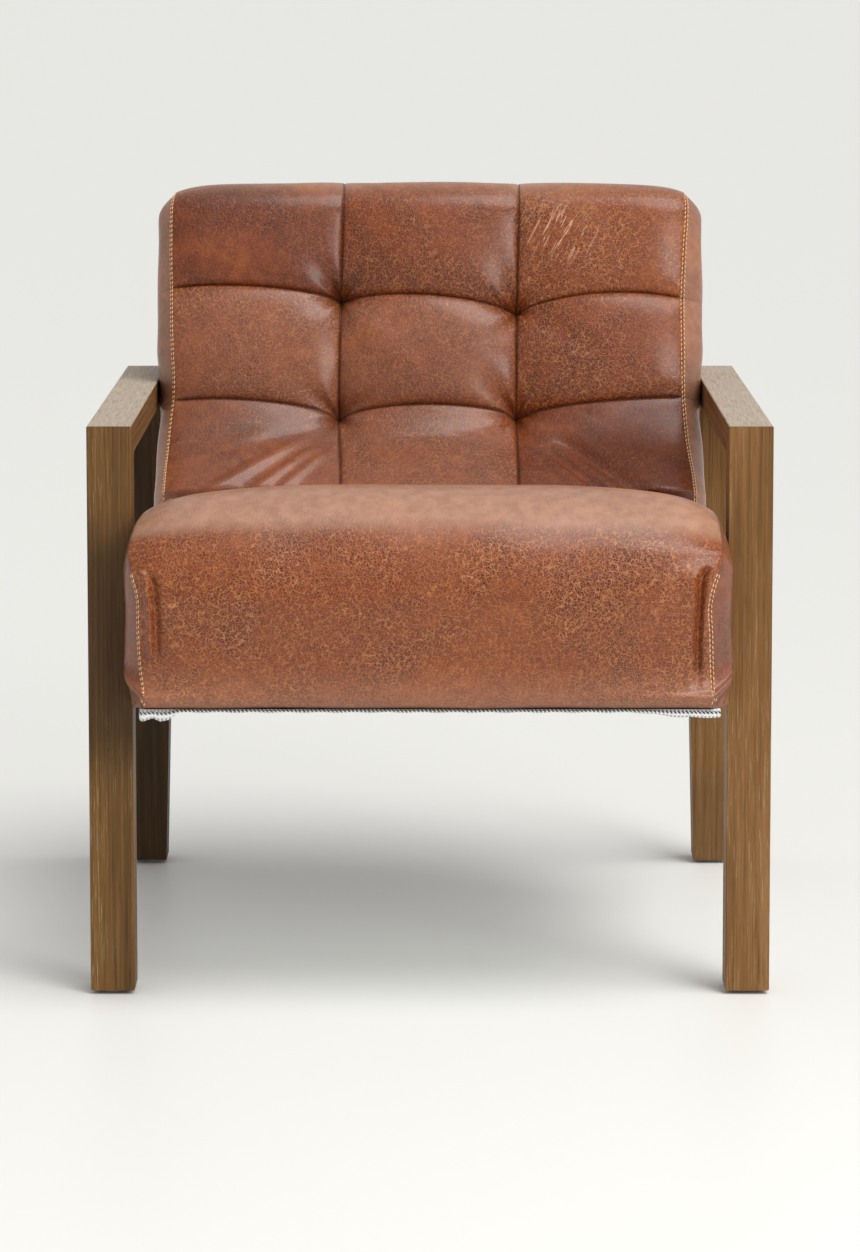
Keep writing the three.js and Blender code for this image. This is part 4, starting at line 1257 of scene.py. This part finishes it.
# ---------------------------------------------------------------- studio
CAMERA_AHEAD = 4.45599  # in front of the legs' front faces
CAMERA_HEIGHT = 1.06346  # above the legs' cut ends
CAMERA_PITCH = math.radians(6.48)
CAMERA_LENS = 130.41
CAMERA_SHIFT = -0.15
SURROUND = ((1.0, 1.0, 0.988, 1.0), 0.52)
SKYLIGHT = {"energy": 2.05, "angle": math.radians(38), "color": (1.0, 0.99, 0.97)}
SKYLIGHT_FROM = (0.9, -0.8, 2.4)
WINDOW_PLACE, WINDOW_AIM = (1.75, -2.4, 1.75), (0.0, 0.0, 0.55)
WINDOW_SIZE, WINDOW_POWER, WINDOW_COLOUR = (1.25, 1.25), 33.0, (1.0, 0.995, 0.975)
FLOOR_SIZE = 400.0


def make_camera():
    data = bpy.data.cameras.new("camera")
    data.lens = CAMERA_LENS
    data.sensor_width = 36.0
    data.shift_y = CAMERA_SHIFT
    data.clip_end = 300.0
    camera = bpy.data.objects.new("camera", data)
    camera.location = (0.0, DEPTH_ZERO - CAMERA_AHEAD, HEIGHT_ZERO + CAMERA_HEIGHT)
    camera.rotation_euler = (math.pi / 2 - CAMERA_PITCH, 0.0, 0.0)
    bpy.context.scene.collection.objects.link(camera)
    bpy.context.scene.camera = camera


def make_studio():
    scene = bpy.context.scene
    scene.view_settings.view_transform = "Standard"
    world = bpy.data.worlds.new("studio")
    scene.world = world
    world.use_nodes = True
    background = world.node_tree.nodes["Background"]
    background.inputs["Color"].default_value, background.inputs["Strength"].default_value = SURROUND
    sun = bpy.data.lights.new("skylight", "SUN")
    for key, value in SKYLIGHT.items():
        setattr(sun, key, value)
    skylight = bpy.data.objects.new("skylight", sun)
    skylight.rotation_euler = Vector(SKYLIGHT_FROM).to_track_quat("Z", "Y").to_euler()
    scene.collection.objects.link(skylight)
    area = bpy.data.lights.new("window", "AREA")
    area.shape = "RECTANGLE"
    area.size, area.size_y = WINDOW_SIZE
    area.energy = WINDOW_POWER
    area.color = WINDOW_COLOUR
    window = bpy.data.objects.new("window", area)
    window.location = WINDOW_PLACE
    window.rotation_euler = (Vector(WINDOW_AIM) - Vector(WINDOW_PLACE)).to_track_quat("-Z", "Y").to_euler()
    scene.collection.objects.link(window)

    bpy.ops.mesh.primitive_plane_add(size=FLOOR_SIZE, location=(0.0, 0.0, 0.0))
    floor = bpy.context.object
    floor.name = "floor"
    material, _, bsdf = new_material("pale_floor", 0.45)
    bsdf.inputs["Base Color"].default_value = linear("e8e8e5")
    floor.data.materials.append(material)


# ---------------------------------------------------------------- the chair
make_camera()
make_studio()
finish_cad_nodes()
leather = leather_material()
pale_thread = plain_grain_material("peach_thread", ("cc8f58", "f2c897"), 0.7, EVEN_GRAIN, 0.4)
dark_thread = plain_grain_material("dark_thread", ("2a1208", "4a2413"), 0.7, EVEN_GRAIN, 0.4)
black_thread = plain_grain_material("overlock_thread", ("0a0a0a", "1c1c1c"), 0.8, EVEN_GRAIN, 0.4)
cambric = woven_material("pale_cambric", "a3a5a5", "eceeee", 0.0019)


def settle(piece, slot, *replaced):
    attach(piece, "root")
    if replaced:
        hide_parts(*replaced)


seat_shape = SeatCushion()
seat = seat_shape.build()
seat.data.materials.append(leather)
settle(seat, "tan_leather", "seat_foam", "seat_cover_panel", "seat_gusset_left", "seat_gusset_right")

back_shape = BackCushion()
back = back_shape.build()
back.data.materials.append(leather)
back_nodes = [name for name in NODES if name.startswith(("back_panel_", "back_gusset_", "tuft_tie_"))]
settle(back, "tan_leather", "back_foam", "outside_back_panel", *back_nodes)

seat_spans = [
    (seat_shape.front_run(SHOULDER_HEIGHT), seat_shape.outline.length + LIP_OVERRUN),
    (seat_shape.top_run(TOPSTITCH_REAR), seat_shape.top_run(SHOULDER_DEPTH)),
]
back_spans = [(back_shape.flap, back_shape.crease + CREASE_OVERRUN)]
for side, sign in (("left", -1), ("right", 1)):
    for name, shape, spans in (("seat", seat_shape, seat_spans), ("back", back_shape, back_spans)):
        name = f"{name}_topstitch_{side}"
        settle(side_topstitch(name, shape, sign, spans, TOPSTITCH_OFFSET[side], pale_thread), "thread")
settle(back_seam_stitches(back_shape, dark_thread), "thread")

dust_cover, overlock, cover_size = make_dust_cover(cambric, black_thread)
settle(dust_cover, "dust_cloth", "dust_cover")
settle(overlock, "thread")
